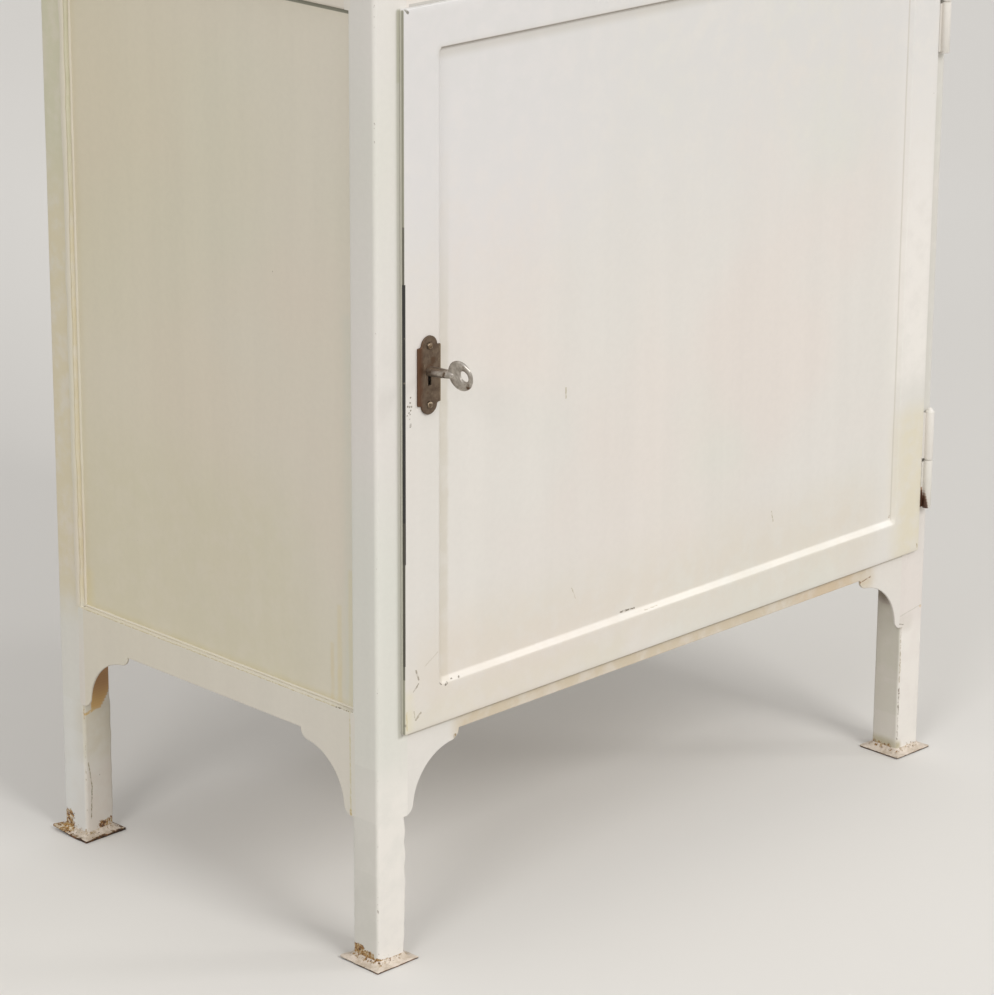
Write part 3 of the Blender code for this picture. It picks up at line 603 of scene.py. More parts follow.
def enamel(name, yellowing=0.0, seed=0.0, aged=None, strokes=(), patches=(), bands=(), chips=(), rust=()):
    """Old brushed-on enamel. Places and widths of its marks are in millimetres.

    aged is (low, high, amount) of a yellowing that grows along Y. strokes are lines (start, end, reach,
    colour). patches are boxes (edges, fade, colour, strength) with cloudy edges, and bands are the same
    with straight ones. chips are lines (start, end, reach, level) along which paint is missing here and
    there. rust is boxes (edges, fade, level). Edges are (x0, x1, y0, y1, z0, z1).
    """
    shade = Shade(name)
    shift = (seed, seed * 1.7, seed * 0.6)
    pink = shade.step(shade.noise(5.5, shift=(seed + 3.1, 0.4, 0)), 0.45, 0.68)
    green = shade.step(shade.noise(4.3, shift=(0, seed + 7.7, 2)), 0.48, 0.70)
    colour = shade.mix(shade.times(pink, 0.75), CREAM, PINKISH)
    colour = shade.mix(shade.times(green, 0.70), colour, GREENISH)
    old = shade.step(shade.noise(3.2, 3, 0.55, shift=shift), 0.35, 0.75, yellowing * 0.8, yellowing)
    if aged:
        low, high, amount = aged
        old = shade.plus(old, shade.step(shade.split(shade.place)[Y], low * MM, high * MM, 0.0, amount))
    colour = shade.mix(old, colour, YELLOWED)
    streaks = shade.noise(30, 3, 0.6, stretch=(1, 1, 0.06), shift=shift)
    tone = shade.times(
        shade.step(streaks, 0.25, 0.75, 0.975, 1.012), shade.step(shade.noise(240), 0.2, 0.8, 0.988, 1.01)
    )
    colour = shade.mix(1.0, colour, shade.node("CombineColor", tone, tone, tone).outputs[0], "MULTIPLY")

    soft = shade.wobbled(60, 3)
    worn = shade.step(shade.noise(60, 4, 0.6, shift=shift), 0.32, 0.60, 0.55, 1.0)
    for edges, fade, tint, strength in patches:
        colour = shade.mix(shade.times(shade.in_box(soft, edges, fade, strength), worn), colour, tint)
    for edges, fade, tint, strength in bands:
        colour = shade.mix(shade.in_box(shade.place, edges, fade, strength), colour, tint)

    specks = shade.node("TexVoronoi", shade.wobbled(500, 1.2), None, 72).outputs["Distance"]
    rare = shade.step(shade.noise(19), 0.64, 0.70)
    colour = shade.mix(shade.times(shade.step(specks, 0.026, 0.045, 0.7, 0.0), rare), colour, DIRT)

    ragged = shade.wobbled(420, 1.6)
    broken = shade.step(shade.noise(330, 3, 0.6), 0.40, 0.52, 0.35, 1.0)
    for start, end, reach, tint in strokes:
        mark = shade.times(shade.on_stroke(ragged, start, end, reach, 0.5), broken)
        colour = shade.mix(mark, colour, tint)

    bare = rusty = None
    if chips:
        spots = [(shade.on_stroke(shade.place, *line), level) for *line, level in chips]
        bare = shade.eaten(shade.noise(260, 5, 0.65), spots, (0.84, 0.90), (0.05, 0.3, 0.0, 0.8))
        colour = shade.mix(bare, colour, shade.mix(shade.noise(130), BARE, (132, 112, 88)))
    if rust:
        spots = [(shade.in_box(soft, *place), level) for *place, level in rust]
        rusty = shade.eaten(shade.noise(420, 5, 0.68, shift=shift), spots, (0.76, 0.82), (0.02, 0.2))
        flakes = shade.ramp(shade.noise(330, 4, 0.8, shift=shift), RUST_STOPS)
        colour = shade.mix(rusty, colour, flakes)

    rough = shade.step(shade.noise(14, 3, 0.6, shift=shift), 0.3, 0.7, 0.32, 0.44)
    height = shade.plus(shade.noise(420), shade.times(shade.noise(120, stretch=(1, 1, 0.1)), 0.8))
    for mask in filter(None, (bare, rusty)):
        rough = shade.math("ADD", rough, shade.times(mask, 0.4), clamp=True)
        pitted = shade.times(shade.minus(shade.noise(700, 4, 0.7), 1.4), 3.0)
        height = shade.plus(height, shade.times(mask, pitted))
    return shade.set(
        Base_Color=colour, Roughness=rough, Normal=shade.bump(height, 0.05, 0.55),
        Specular_IOR_Level=0.5, Coat_Weight=0.25, Coat_Roughness=0.28,
    )


def foot_finish(name):
    """Foot plate: worn enamel on top, a thin dark rim, specks by the tube, and one rusted corner."""
    shade = Shade(name)
    x, y, z = shade.split(shade.wobbled(300, 1.2))
    across = shade.minus(shade.math("ABSOLUTE", x), FOOT_PLACE[0])
    along = shade.minus(shade.math("ABSOLUTE", shade.minus(y, MIDDLE_Y)), FOOT_PLACE[1])
    out = shade.most(shade.math("ABSOLUTE", across), shade.math("ABSOLUTE", along))
    height = shade.minus(z, shade.step(y, -0.02, 0.02, 0.0, 0.8 * MM))
    side = shade.step(height, 0.8 * MM, 1.5 * MM, 1.0, 0.0)
    beside = shade.step(out, 14.6 * MM, 16.2 * MM, 1.0, 0.0)
    crease = shade.times(beside, shade.step(z, 1.4 * MM, 2.2 * MM))
    value = shade.noise(420, 5, 0.68)
    for mask, level in ((side, 0.40), (crease, 0.12), (shade.in_box(shade.place, RUSTED_CORNER, 9), 0.30)):
        value = shade.plus(value, shade.times(mask, level))
    rust = shade.step(value, 0.66, 0.70)
    cloudy = shade.step(shade.noise(120, 4, 0.65), 0.40, 0.62)
    spots = shade.times(
        shade.step(shade.noise(640, 3, 0.7), 0.62, 0.68), shade.step(out, 14 * MM, 19 * MM, 0.95, 0.30)
    )
    paint = shade.mix(spots, shade.mix(cloudy, (222, 209, 194), (196, 181, 162)), (112, 98, 90))
    edge = shade.mix(shade.step(shade.noise(200, 4, 0.7), 0.46, 0.62), (60, 42, 30), (116, 80, 50))
    flakes = shade.mix(side, shade.ramp(shade.noise(330, 4, 0.8), RUST_STOPS), edge)
    relief = shade.minus(shade.noise(320, 5, 0.7), shade.times(rust, 0.6))
    return shade.set(
        Base_Color=shade.mix(rust, paint, flakes), Roughness=shade.step(rust, 0, 1, 0.5, 0.85),
        Normal=shade.bump(relief, 0.5, 0.8), Specular_IOR_Level=0.4,
    )


def bronze(name):
    """Brown patinated plate, rubbed lighter near its edges."""
    shade = Shade(name)
    across = shade.math("ABSOLUTE", shade.minus(shade.split(shade.wobbled(500, 0.8))[X], KEY_X))
    cloudy = shade.noise(200, 4, 0.6)
    fine = shade.noise(900, 3, 0.6, stretch=(1, 1, 0.2))
    left = shade.split(shade.wobbled(160, 4))[X]
    colour = shade.mix(shade.step(cloudy, 0.3, 0.7), (88, 72, 58), (112, 96, 80))
    for mask, tint in (
        (shade.step(fine, 0.60, 0.72, 0.0, 0.6), (160, 146, 122)),
        (shade.step(shade.noise(90, 3), 0.56, 0.70), (88, 66, 48)),
        (shade.times(shade.step(across, 9.2 * MM, 10.8 * MM), 0.7), (180, 164, 136)),
        (shade.step(left, KEY_X - 9.5 * MM, KEY_X - 5 * MM, 0.92, 0.0), (92, 62, 42)),
    ):
        colour = shade.mix(mask, colour, tint)
    rough = shade.step(cloudy, 0.3, 0.7, 0.36, 0.54)
    return shade.set(Base_Color=colour, Roughness=rough, Metallic=0.75, Normal=shade.bump(fine, 0.04, 0.5))


def nickel(name, light, dark, scale=240):
    """Worn nickel, brass or plain steel with brown stains."""
    shade = Shade(name)
    cloudy = shade.noise(scale, 5, 0.65)
    colour = shade.mix(shade.step(cloudy, 0.35, 0.65), dark, light)
    colour = shade.mix(shade.step(shade.noise(scale * 0.5, 3), 0.60, 0.74), colour, (92, 74, 58))
    rough = shade.step(cloudy, 0.3, 0.7, 0.44, 0.26)
    scratched = shade.noise(1400, 2, 0.6, stretch=(1, 0.15, 1))
    relief = shade.bump(scratched, 0.03, 0.5)
    return shade.set(Base_Color=colour, Roughness=rough, Metallic=1.0, Normal=relief)


def window(name, tint, roughness):
    """Clear glass, a little uneven."""
    shade = Shade(name)
    wave = shade.noise(9)
    dust = shade.step(shade.noise(35, 4, 0.6), 0.45, 0.8, 0.0, 0.06)
    return shade.set(
        Base_Color=tint, Roughness=shade.plus(dust, roughness), Transmission_Weight=1.0, IOR=1.5,
        Normal=shade.bump(wave, 0.4, 0.3),
    )


# Marks, in millimetres

def strokes_on(y, *rows):
    """Marks on an upright plane that faces the front, from rows (x0, z0, x1, z1, reach, colour)."""
    return [((x0, y, z0), (x1, y, z1), *look) for x0, z0, x1, z1, *look in rows]


def dots(reach, *places):
    """Small scratched dots on the lower door's face."""
    return strokes_on(DOOR_FACE, *[(x, z, x + 0.1, z, reach, SCRATCHED) for x, z in places])


def corner_chips(x, z0, z1, level, reach=2.4):
    """Chips up a front corner of a post."""
    return (x + 0.8, POST_FACE + 0.8, z0), (x + 0.8, POST_FACE + 0.8, z1), reach, level


def stains_and_shade(*rows):
    """Stains and painted shade on planes that face the front, from rows (y, x0, x1, z0, z1, fade, colour,
    strength).
    """
    return [((x0, x1, y - 2, y + 1, z0, z1), *look) for y, x0, x1, z0, z1, *look in rows]


def side_stains_and_shade(*rows):
    """Stains and painted shade on the left side's sheets, from rows (y0, y1, z0, z1, fade, colour,
    strength).
    """
    return [((-301, -293, *row[:4]), *row[4:]) for row in rows]


def edge_grime_and_shade(y1, z0, z1, *look, reach=0.0):
    """Grime and painted shade of the gap on the doors' left edge, and as far onto the face as the reach."""
    return ((-278.5, -277.1 + reach, -160, y1, z0, z1), *look)


def golden_patch():
    """Bare golden patch on the back left leg: it follows the bracket's curve and narrows downwards."""
    boxes = []
    for step in range(18):
        bottom = 140 - step * 2.1
        share = min(1, max(0, (122 - bottom) / 18))
        tint = (176 + 34 * share, 128 + 42 * share, 70 + 34 * share)
        boxes.append(((-292, -273 - 11 * share ** 1.4, 168, 170, bottom, bottom + 3), 1.3, tint, 0.85))
    return boxes


door_enamel = enamel(
    "door_enamel", 0.05, 1.3,
    strokes=[
        *dots(0.8, (-271.2, 419.5), (-271.8, 416.0), (-270.3, 413.0), (-272.2, 413.4), (-274.1, 413.8)),
        *dots(0.75, (-271.2, 410.6), (-272.9, 409.1), (-271.8, 408.0), (-274.6, 407.4), (-272.2, 404.5)),
        *dots(1.3, (-271.3, 400.3), (-271.5, 399.2)),
        *dots(0.9, (-276.6, 462.4), (-276.8, 431.0)),
        *strokes_on(
            DOOR_FACE,
            (-266.6, 219.3, -263.8, 212.1, 1.0, (166, 156, 140)),
            (-268.9, 204, -264.1, 208.7, 0.8, (160, 150, 134)),
            (-266.5, 182.6, -262, 186.4, 1.2, (178, 168, 150)), (-268.4, 189, -267.6, 184.5, 0.7, FAINT),
            (-257.9, 220.2, -245.3, 227.7, 0.6, (208, 200, 186)),
        ),
        *strokes_on(DOOR_FACE + 0.4, (-243.6, 204, -242, 202.2, 0.9, SCRATCHED)),
        *strokes_on(DOOR_FACE + 0.2, (-237.6, 201.2, -236.6, 201.8, 1.5, SCRATCHED)),
        *strokes_on(DOOR_FACE + 1.0, (-231.7, 203.6, -230.9, 203.6, 0.9, SCRATCHED)),
        *strokes_on(DOOR_FACE + 0.6, (-224.4, 202.9, -223.9, 203.4, 1.1, SCRATCHED)),
        *strokes_on(FIELD_FACE, (-55.3, 208, -40.8, 207.4, 0.9, SCRATCHED)),
        *strokes_on(DOOR_FACE + 1.2, (-34, 203.6, -18, 204, 0.5, FAINT)),
        *strokes_on(
            FIELD_FACE,
            (251.4, 208.4, 251.8, 209.4, 0.9, BROWN), (110.6, 246.5, 112.7, 238.4, 0.7, FAINT),
            (-115.6, 392.8, -115.5, 385.3, 0.8, FAINT), (-107.6, 239.8, -103.4, 231.1, 0.6, FAINT),
        ),
        *strokes_on(
            DOOR_FACE,
            (-276.6, 180.9, -276.2, 180.5, 1.1, SCRATCHED),
            (-275.6, 190, -275.2, 176.6, 0.8, (212, 200, 166)),
            # Painted shade of the open mitre at the door's top left corner
            (-275.2, 688.4, -273, 685.6, 1.3, (128, 124, 112)),
            (-276, 688, -274.6, 687.6, 0.8, (150, 146, 134)),
            (283.6, 179, 284.4, 176, 0.8, (170, 150, 110)),
        ),
    ],
    patches=stains_and_shade(
        # Painted shadow that the field's left step casts into the field
        (FIELD_PLANE, -240.5, -234.5, 204, 655, 3.5, (206, 198, 180), 0.55),
        (DOOR_PLANE, -276, -60, 173, 184, 16, (220, 216, 192), 0.30),
        (DOOR_PLANE, 264, 286, 330, 688, 26, (240, 235, 228), 0.80),
        # Painted warm bounce from the floor: the field warmer towards the bottom
        (FIELD_PLANE, -240, 200, 204, 216, 60, (220, 208, 190), 0.45),
        (DOOR_PLANE, 268, 286, 173, 280, 26, (222, 212, 182), 0.65),
        (DOOR_PLANE, -276, -262, 600, 640, 14, (214, 211, 204), 0.50),
        (DOOR_PLANE, -277, -274, 178, 200, 9, (224, 216, 188), 0.60),
        # Painted cool window light: the door cooler at its top left and along its top
        (DOOR_PLANE, -276, -190, 630, 688, 190, (226, 222, 225), 0.85),
        (FIELD_PLANE, -245, 256, 650, 658, 260, (218, 216, 213), 0.90),
    ),
    bands=[
        *stains_and_shade(
            # Dirt and painted shade on the field's top slope and its upper edge, a painted shadow on the
            # field under that slope, and painted shade in the field's right crease
            (DOOR_PLANE, -242, 255, 656.3, 657.6, 0.8, (158, 147, 130), 0.65),
            (FIELD_PLANE, -242, 255, 653.5, 656, 6.5, (196, 190, 178), 0.45),
            (DOOR_PLANE, -242, 60, 657.4, 658.2, 0.5, (120, 106, 88), 0.60),
            (FIELD_PLANE, 252.6, 253.2, 206, 655, 0.6, (190, 182, 168), 0.50),
        ),
        # The lower door's left edge: dirt and painted shade of the gap by the post, darkest by the lock
        edge_grime_and_shade(-154.0, 172, 690, 0.3, (196, 194, 180), 0.95),
        edge_grime_and_shade(-156.6, 172, 690, 0.6, (136, 134, 116), 0.85),
        edge_grime_and_shade(-157.0, 215, 540, 0.6, GAP_DIRT_AND_SHADE, 0.80),
        edge_grime_and_shade(-156.6, 300, 500, 0.4, (26, 25, 22), 1.0, reach=1.0),
        edge_grime_and_shade(-156.8, 225, 330, 0.4, (64, 60, 50), 0.90, reach=0.5),
    ],
)
upper_door_enamel = enamel(
    "upper_door_enamel", 0.05, 5.9,
    patches=stains_and_shade((DOOR_PLANE, -277, -262, 1120, 1160, 14, (208, 196, 172), 0.40)),
    # The upper door's left edge: dirt and painted shade of the gap by the post
    bands=[edge_grime_and_shade(-154.0, 702, 1573, 0.3, OLIVE, 0.9)],
)
front_post_enamel = enamel(
    "front_post_enamel", 0.02, 2.2,
    strokes=[
        *strokes_on(POST_FACE + 0.2, (LEFT_FACE, 460, LEFT_FACE, 454, 0.8, SCRATCHED)),
        *strokes_on(POST_FACE + 0.3, (LEFT_FACE + 0.3, 110, LEFT_FACE + 0.3, 12, 0.45, FAINT)),
        ((LEG_FACE + 0.3, POST_FACE + 0.2, 110), (LEG_FACE + 0.5, POST_FACE, 60), 0.8, FAINT),
        *strokes_on(
            POST_FACE,
            (LEG_FACE + 0.5, 60, LEG_FACE + 0.3, 8, 0.9, (158, 150, 132)),
            # Painted shade lines where the bracket's lower edge crosses the right leg's front
            (270.5, 119.7, 297, 123.6, 0.6, (206, 200, 188)),
            (296, 122.5, 298, 122.5, 1.2, (218, 196, 168)),
            (260.7, 122.2, 266, 115, 0.6, (168, 160, 144)), (266, 115, 273.3, 107.9, 0.7, (132, 124, 110)),
            (269, 114, 276, 112, 0.6, (160, 152, 138)),
        ),
    ],
    patches=[
        *stains_and_shade(
            (POST_PLANE, -300, -274, 0, 120, 45, PALE_LEG, 0.80),
            (POST_PLANE, 274, 300, 0, 100, 20, PALE_LEG, 0.80),
        ),
        # Dirt and painted shade on the right leg's inner side under the bracket
        ((272, 275, -142, -128, 132, 160), 12, (112, 94, 62), 0.75),
        ((272, 275, -154, -128, 3, 9), 6, (160, 146, 92), 0.75),
        *stains_and_shade(
            (POST_PLANE, 273, 282, 110, 116, 8, (204, 197, 184), 0.40),
            (POST_PLANE, 276, 300, 240, 690, 60, (214, 211, 202), 0.80),
        ),
        # Painted shade on the right leg's inner side, darker towards the top
        *[((272, 273.6, -152, -128, low, 125), 2, (211, 208, 192), 0.36) for low in (5, 35, 65)],
        *[((-301, -299.9, -152, -127, 5, top), 2, (211, 209, 200), 0.40) for top in (70, 110, 150)],
    ],
    # Painted shadow of the doors' left edges on the left post's front
    bands=stains_and_shade(
        (POST_PLANE, -278.8, -277, 171.5, 687, 2.4, SHADED, 0.62),
        (POST_PLANE, -278.8, -277, 704, 1571, 2.4, SHADED, 0.60),
        (POST_PLANE, -278.6, -277, 640, 687, 2.2, (172, 171, 148), 0.50),
    ),
    chips=[
        corner_chips(LEFT_FACE, 20, 1500, 0.22, 1.8), corner_chips(LEFT_FACE, 0, 60, 0.27),
        corner_chips(LEG_FACE, 0, 60, 0.30),
    ],
    rust=[
        ((-301, -299, -138, -127, 5, 12), 4, 0.46), ((-301, -299, -149, -138, 4, 9), 4, 0.46),
        ((-301, -299, -155, -149, 3, 6), 4, 0.46), ((-300, -291, -155, -153, 3, 5), 4, 0.38),
        ((-300, -274, -155, -153, 4, 9), 8, 0.15), ((272, 275, -148, -128, 4, 6), 5, 0.36),
        ((286, 296, -155, -153, 4, 6), 5, 0.24),
    ],
)
back_post_enamel = enamel(
    "back_post_enamel", 0.04, 3.4,
    strokes=strokes_on(
        BACK_FACE,
        (-290, 104, -298.5, 102, 1.6, (206, 176, 120)),
        (LEFT_FACE, 113, LEFT_FACE + 0.3, 99, 1.2, (176, 146, 96)),
        (-297, 62, -294, 42, 0.7, (160, 148, 122)), (-294, 42, -295.5, 16, 0.7, (150, 138, 112)),
        (LEFT_FACE + 0.4, 100, LEFT_FACE + 0.5, 5, 0.6, (170, 158, 132)),
    ),
    patches=[
        ((-301, -299, 170, 196, 215, 700), 50, YELLOWED, 0.80),
        ((-301, -299, 170, 196, 560, 700), 90, (203, 203, 178), 0.70),
        ((-301, -273, 168, 170, 70, 104), 16, (208, 199, 178), 0.75),
        ((-301, -273, 168, 170, 5, 50), 24, (216, 206, 194), 0.75),
        *[((-301, -299.9, 172, 196, 5, top), 3, (230, 231, 228), 0.28) for top in (60, 85, 110)],
    ],
    bands=golden_patch(),
    rust=[
        ((-301, -299, 187, 197, 4, 16), 8, 0.39), ((-301, -299, 170, 184, 4, 6), 7, 0.24),
        ((-286, -273, 168, 170, 5, 9), 9, 0.35), ((272, 301, 168, 197, 4, 7), 10, 0.26),
    ],
)
frame_enamel = enamel("frame_enamel", 0.04, 4.1)
front_rail_enamel = enamel(
    "front_rail_enamel", 0.06, 4.6,
    strokes=strokes_on(
        POST_FACE,
        (-224.3, 158, -225, 157.4, 1.6, (150, 128, 96)), (219.6, 161.2, 232.5, 163.2, 0.7, (150, 122, 92)),
        (219, 159, 220, 160.6, 1.4, (150, 116, 80)),
    ),
    patches=stains_and_shade(
        (POST_PLANE, -215, 225, 161, 174, 18, (208, 194, 170), 1.0),
        (POST_PLANE, 150, 205, 163, 170, 16, (208, 182, 148), 0.45),
    ),
    # Dirt and painted shadow in a line under the lower door's edge, and a painted contact shadow on the mid
    # rail above the door
    bands=stains_and_shade(
        (POST_PLANE, -277, 284, 171, 173, 0.9, (176, 164, 142), 0.45),
        (POST_PLANE, -268, 284, 688, 689.9, 0.7, (178, 175, 168), 0.70),
    ),
)
apron_line = ((LEFT_FACE, POST_FACE, APRON_TOP), (LEFT_FACE, Y1 / MM, APRON_TOP))
side_rail_enamel = enamel(
    "side_rail_enamel", 0.30, 6.3, (-100, 170, 0.16),
    strokes=[
        (*apron_line, 0.7, (196, 184, 150)),
        ((LEFT_FACE, -129, APRON_TOP + 0.6), (LEFT_FACE, -112, APRON_TOP), 0.9, (98, 86, 62)),
        ((LEFT_FACE, -74.1, 157), (LEFT_FACE, -73.6, 155), 1.6, BROWN),
        ((LEFT_FACE, 113.1, 158), (LEFT_FACE, 113.1, 157), 1.6, BROWN),
    ],
    chips=[(*apron_line, 1.6, 0.24)],
)
side_enamel = enamel(
    "side_enamel", 0.46, 7.5, (-120, 160, 0.20),
    patches=side_stains_and_shade(
        (-127, 169, 188, 190, 6, (206, 192, 148), 0.50), (-126, -122, 190, 290, 3, (222, 206, 152), 0.60),
        (-112, -110, 190, 262, 2.5, (220, 204, 154), 0.45),
        (-104, -103, 190, 232, 2.5, (216, 198, 150), 0.40),
        (-127, -122, 190, 470, 10, (210, 210, 196), 0.55), (164, 169, 190, 215, 9, (226, 210, 164), 0.55),
        (-30, 169, 200, 290, 90, (208, 202, 168), 0.35),
    ),
    # Painted shadow: a dark line along the panel's top, under the mid rail's lower edge
    bands=side_stains_and_shade((-127, 169, 683.4, 687, 0.5, (104, 106, 88), 0.85)),
)
seam_enamel = enamel("seam_enamel", 0.55, 8.8)
seam_weld_enamel = enamel(
    "seam_weld_enamel", 0.20, 12.1,
    strokes=[
        ((LEFT_FACE, -126.8, 110), (LEFT_FACE, -126.2, 192), 1.0, (212, 203, 172)),
        ((LEFT_FACE, -126.8, 110), (LEFT_FACE, -126.8, 114), 1.4, (200, 180, 132)),
    ],
)
inside_enamel = enamel("inside_enamel", 0.10, 9.7)
lower_pintle_enamel = enamel(
    "lower_pintle_enamel", 0.10, 10.2,
    strokes=[((288, -164, 232), (289.2, -164, 222), 2.0, (160, 116, 74))],
    bands=[
        ((286, 290.6 - 0.35 * step, -166, -154, 203, 208 + 2.4 * step), 1.4, tint, 0.9)
        for tint, steps in (((156, 110, 72), range(8)), ((72, 43, 27), range(-3, 7))) for step in steps
    ],
)
hinge_enamel = enamel("hinge_enamel", 0.10, 11.4)
foot_steel = foot_finish("foot_steel")
bronze_plate = bronze("bronze_plate")
key_nickel = nickel("key_nickel", (192, 186, 178), (158, 151, 142))
screw_brass = nickel("screw_brass", (150, 134, 114), (96, 80, 64), 420)
lock_steel = nickel("lock_steel", (128, 124, 116), (84, 78, 70), 130)
clear_glass = window("clear_glass", (244, 251, 248), 0.02)
glass_edge = window("glass_edge", (150, 206, 184), 0.12)


# Frame

def tube(axis, edges, places, corner, corner_steps):
    """Square tube along an axis, with rounded corners."""
    outer = outline(edges, corner, corner_steps, 4)
    inner = outline(inset(edges, TUBE_WALL), corner - TUBE_WALL / 2, corner_steps, 4)
    sections = [(outer, t) for t in places] + [(inner, places[-1]), (inner, places[0])]
    return lofted(axis, sections, closed=True)


def leg_bead(vert, corner, low, high, wide):
    """Height of the ridge of old paint and weld that runs down one corner of a leg."""
    if not low < vert.z < high:
        return 0
    away = math.hypot(vert.x - corner[0], vert.y - corner[1])
    lumps = 0.55 + 0.6 * noise.noise(Vector((corner[0], corner[1], vert.z)) * 90)
    ends = smoothstep(vert.z, low, low + 10 * MM) * (1 - smoothstep(vert.z, high - 8 * MM, high))
    return max(0, lumps) * ends * (1 - smoothstep(away, wide * 0.4, wide))


def post(name, finish, ridges):
    """Square tube; ridges are (way across, height, width) of the beads down its front corners."""
    low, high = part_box(f"post_{name}")
    low.z -= FOOT_SUNK
    heights = spread(low.z, LEG_DETAIL, 40) + spread(LEG_DETAIL, high.z, 60)[1:]
    bm = tube(Z, (low.x, high.x, low.y, high.y), heights, POST_CORNER, 6)
    rumple(bm, X, 0.10 * MM, 22, 3.7)
    rumple(bm, Y, 0.10 * MM, 22, 8.1)
    middle = (low + high) / 2
    for way, height, wide in ridges:
        corner = (low.x + 0.9 * MM if way < 0 else high.x - 0.9 * MM, low.y + 0.9 * MM)
        for vert in bm.verts:
            raised = height * MM * leg_bead(vert.co, corner, 0.010, BRACKET_LOW + 2 * MM, wide * MM)
            if way < 0:
                vert.co += Vector((vert.co.x - middle.x, vert.co.y - middle.y, 0)).normalized() * raised
            else:
                vert.co.x += raised
    if name == "front_left":
        for label in KEY_Z:
            y0, y1, z0, z1 = inset(edges_of(f"{label}_lock_bolt", X), -BOLT_ROOM)
            bm = boolean(bm, box(OPEN_X0 - 3 * MM, OPEN_X0 + 3 * MM, y0, y1, z0, z1))
    piece(f"{name}_post_tube", bm, finish, (f"post_{name}",))


def foot_plate(name, lifted=0.0, way=-1):
    """Rusted plate under a leg, with the weld round the tube and one corner lifted, in millimetres."""
    low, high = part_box(f"foot_plate_{name}")
    middle = (low + high) / 2
    half = (high.x - low.x) / 2
    tube_half = POST / 2
    top = high.z - FOOT_SUNK
    rows = profile(
        (0, top, (4.0, 0, 1.0)),
        (tube_half, top, (-0.4, 0, 3.0), (-0.1, 3.4, 3.0), (0.4, 3.0, 3.0), (1.0, 1.8, 3.0)),
        (tube_half, top, (1.9, 0.7, 2.6), (3.0, -0.1, 2.2)),
        (half, top, (-2.6, -0.3, 1.2), (-0.7, -0.5, 0.7), (-0.15, -0.7, 0.6), (0, -1.0, 0.5)),
        (half, 0, (0, 0.7, 0.5), (-0.2, 0.3, 0.5), (-0.8, 0, 0.5)), (0, 0, (4.0, 0, 1.0)),
    )
    centre = (middle.x, middle.x, middle.y, middle.y)
    bm = lofted(Z, [
        (outline(inset(centre, -out), min(radius, out * 0.9), 4, 12), z) for out, z, radius in rows
    ])
    for vert in bm.verts:
        out = Vector((vert.co.x - middle.x, vert.co.y - middle.y, 0))
        share = smoothstep(max(abs(out.x), abs(out.y)), tube_half + 1 * MM, half)
        ragged = noise.noise(vert.co * 130) * 0.5 + noise.noise(vert.co * 420) * 0.25
        vert.co -= out.normalized() * share * MM * max(0, 0.1 + ragged)
        corner = smoothstep(min(abs(out.x), abs(out.y)), tube_half, half)
        if vert.co.z > 0.75 * MM:
            bumpy = 0.5 * noise.noise(vert.co * 150 + Vector((0, 0, 5)))
            vert.co.z += (bumpy + 0.3 * corner) * MM * max(share, 0.3)
        vert.co.z += lifted * MM * smoothstep(-(out.x + out.y * way), tube_half, 2 * half)
        vert.co.z = max(vert.co.z, 0.0)
    piece(f"{name}_foot", bm, foot_steel, (f"foot_plate_{name}",))


def rail(node, name, axis, finish):
    """Square tube between two posts, with a little waviness."""
    low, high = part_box(node)
    bm = tube(axis, edges_of(node, axis), spread(low[axis], high[axis], 24), RAIL_CORNER, 5)
    for across, seed in zip(other_axes(axis), (2.9, 6.4)):
        rumple(bm, across, 0.08 * MM, 20, seed)
    piece(name, bm, finish, (node,))


def bracket_edge():
    """Lower edge of a bracket from its tip to the post, as distance out from the post and down."""
    inner = BRACKET_REACH - BRACKET_LOBE
    centre = BRACKET_REACH - BRACKET_LOBE / 3
    radius = math.dist((centre, centre), (inner, BRACKET_LOBE))
    swing = math.degrees(math.atan2(centre - BRACKET_LOBE, centre - inner))
    edge = arc((inner, 0), BRACKET_LOBE, 0, 90, 9)
    edge += arc((centre, centre), radius, 180 + swing, 270 - swing, 26)[1:-1]
    return edge + arc((0, inner), BRACKET_LOBE, 0, 90, 9)


def apron(node, name, across, ends, outside, inward, finish):
    """Pressed sheet with a bracket at each end and a flange folded back along its top."""
    low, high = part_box(node)
    axis = Y if across == X else X
    start, end = ends[0] + 0.3 * MM, ends[1] - 0.3 * MM
    left = [(start + out, LEG_HEIGHT - down) for out, down in bracket_edge()][::-1]
    right = [(end - out, LEG_HEIGHT - down) for out, down in bracket_edge()]
    shape = [(start, high.z), *left, *right, (end, high.z)]
    under = high.z - APRON_THICKNESS
    behind = [(start, under), *left, *right, (end, under)]
    deep = outside + inward * (high - low)[axis]
    bm = bmesh.new()

    def row(spots, t):
        return [bm.verts.new(point(axis, a, z, t)) for a, z in spots]

    front = row(shape, outside)
    back = row(behind, outside + inward * APRON_THICKNESS)
    upper = row([(start, high.z), (end, high.z)], deep)
    lower = row([(start, under), (end, under)], deep)
    faces = [front, back[::-1], (front[0], front[-1], upper[1], upper[0]), (*upper, *lower[::-1])]
    faces += [(lower[0], lower[1], back[-1], back[0])]
    faces += [(front[i], back[i], back[i + 1], front[i + 1]) for i in range(1, len(shape) - 2)]
    faces += [(front[0], front[1], back[1], back[0], lower[0], upper[0])]
    faces += [(front[-1], front[-2], back[-2], back[-1], lower[1], upper[1])]
    for face in faces:
        bm.faces.new(face)
    bmesh.ops.recalc_face_normals(bm, faces=bm.faces)
    piece(name, soften(bm, 0.55 * MM, angle=40), finish, (node,), weighted=True)


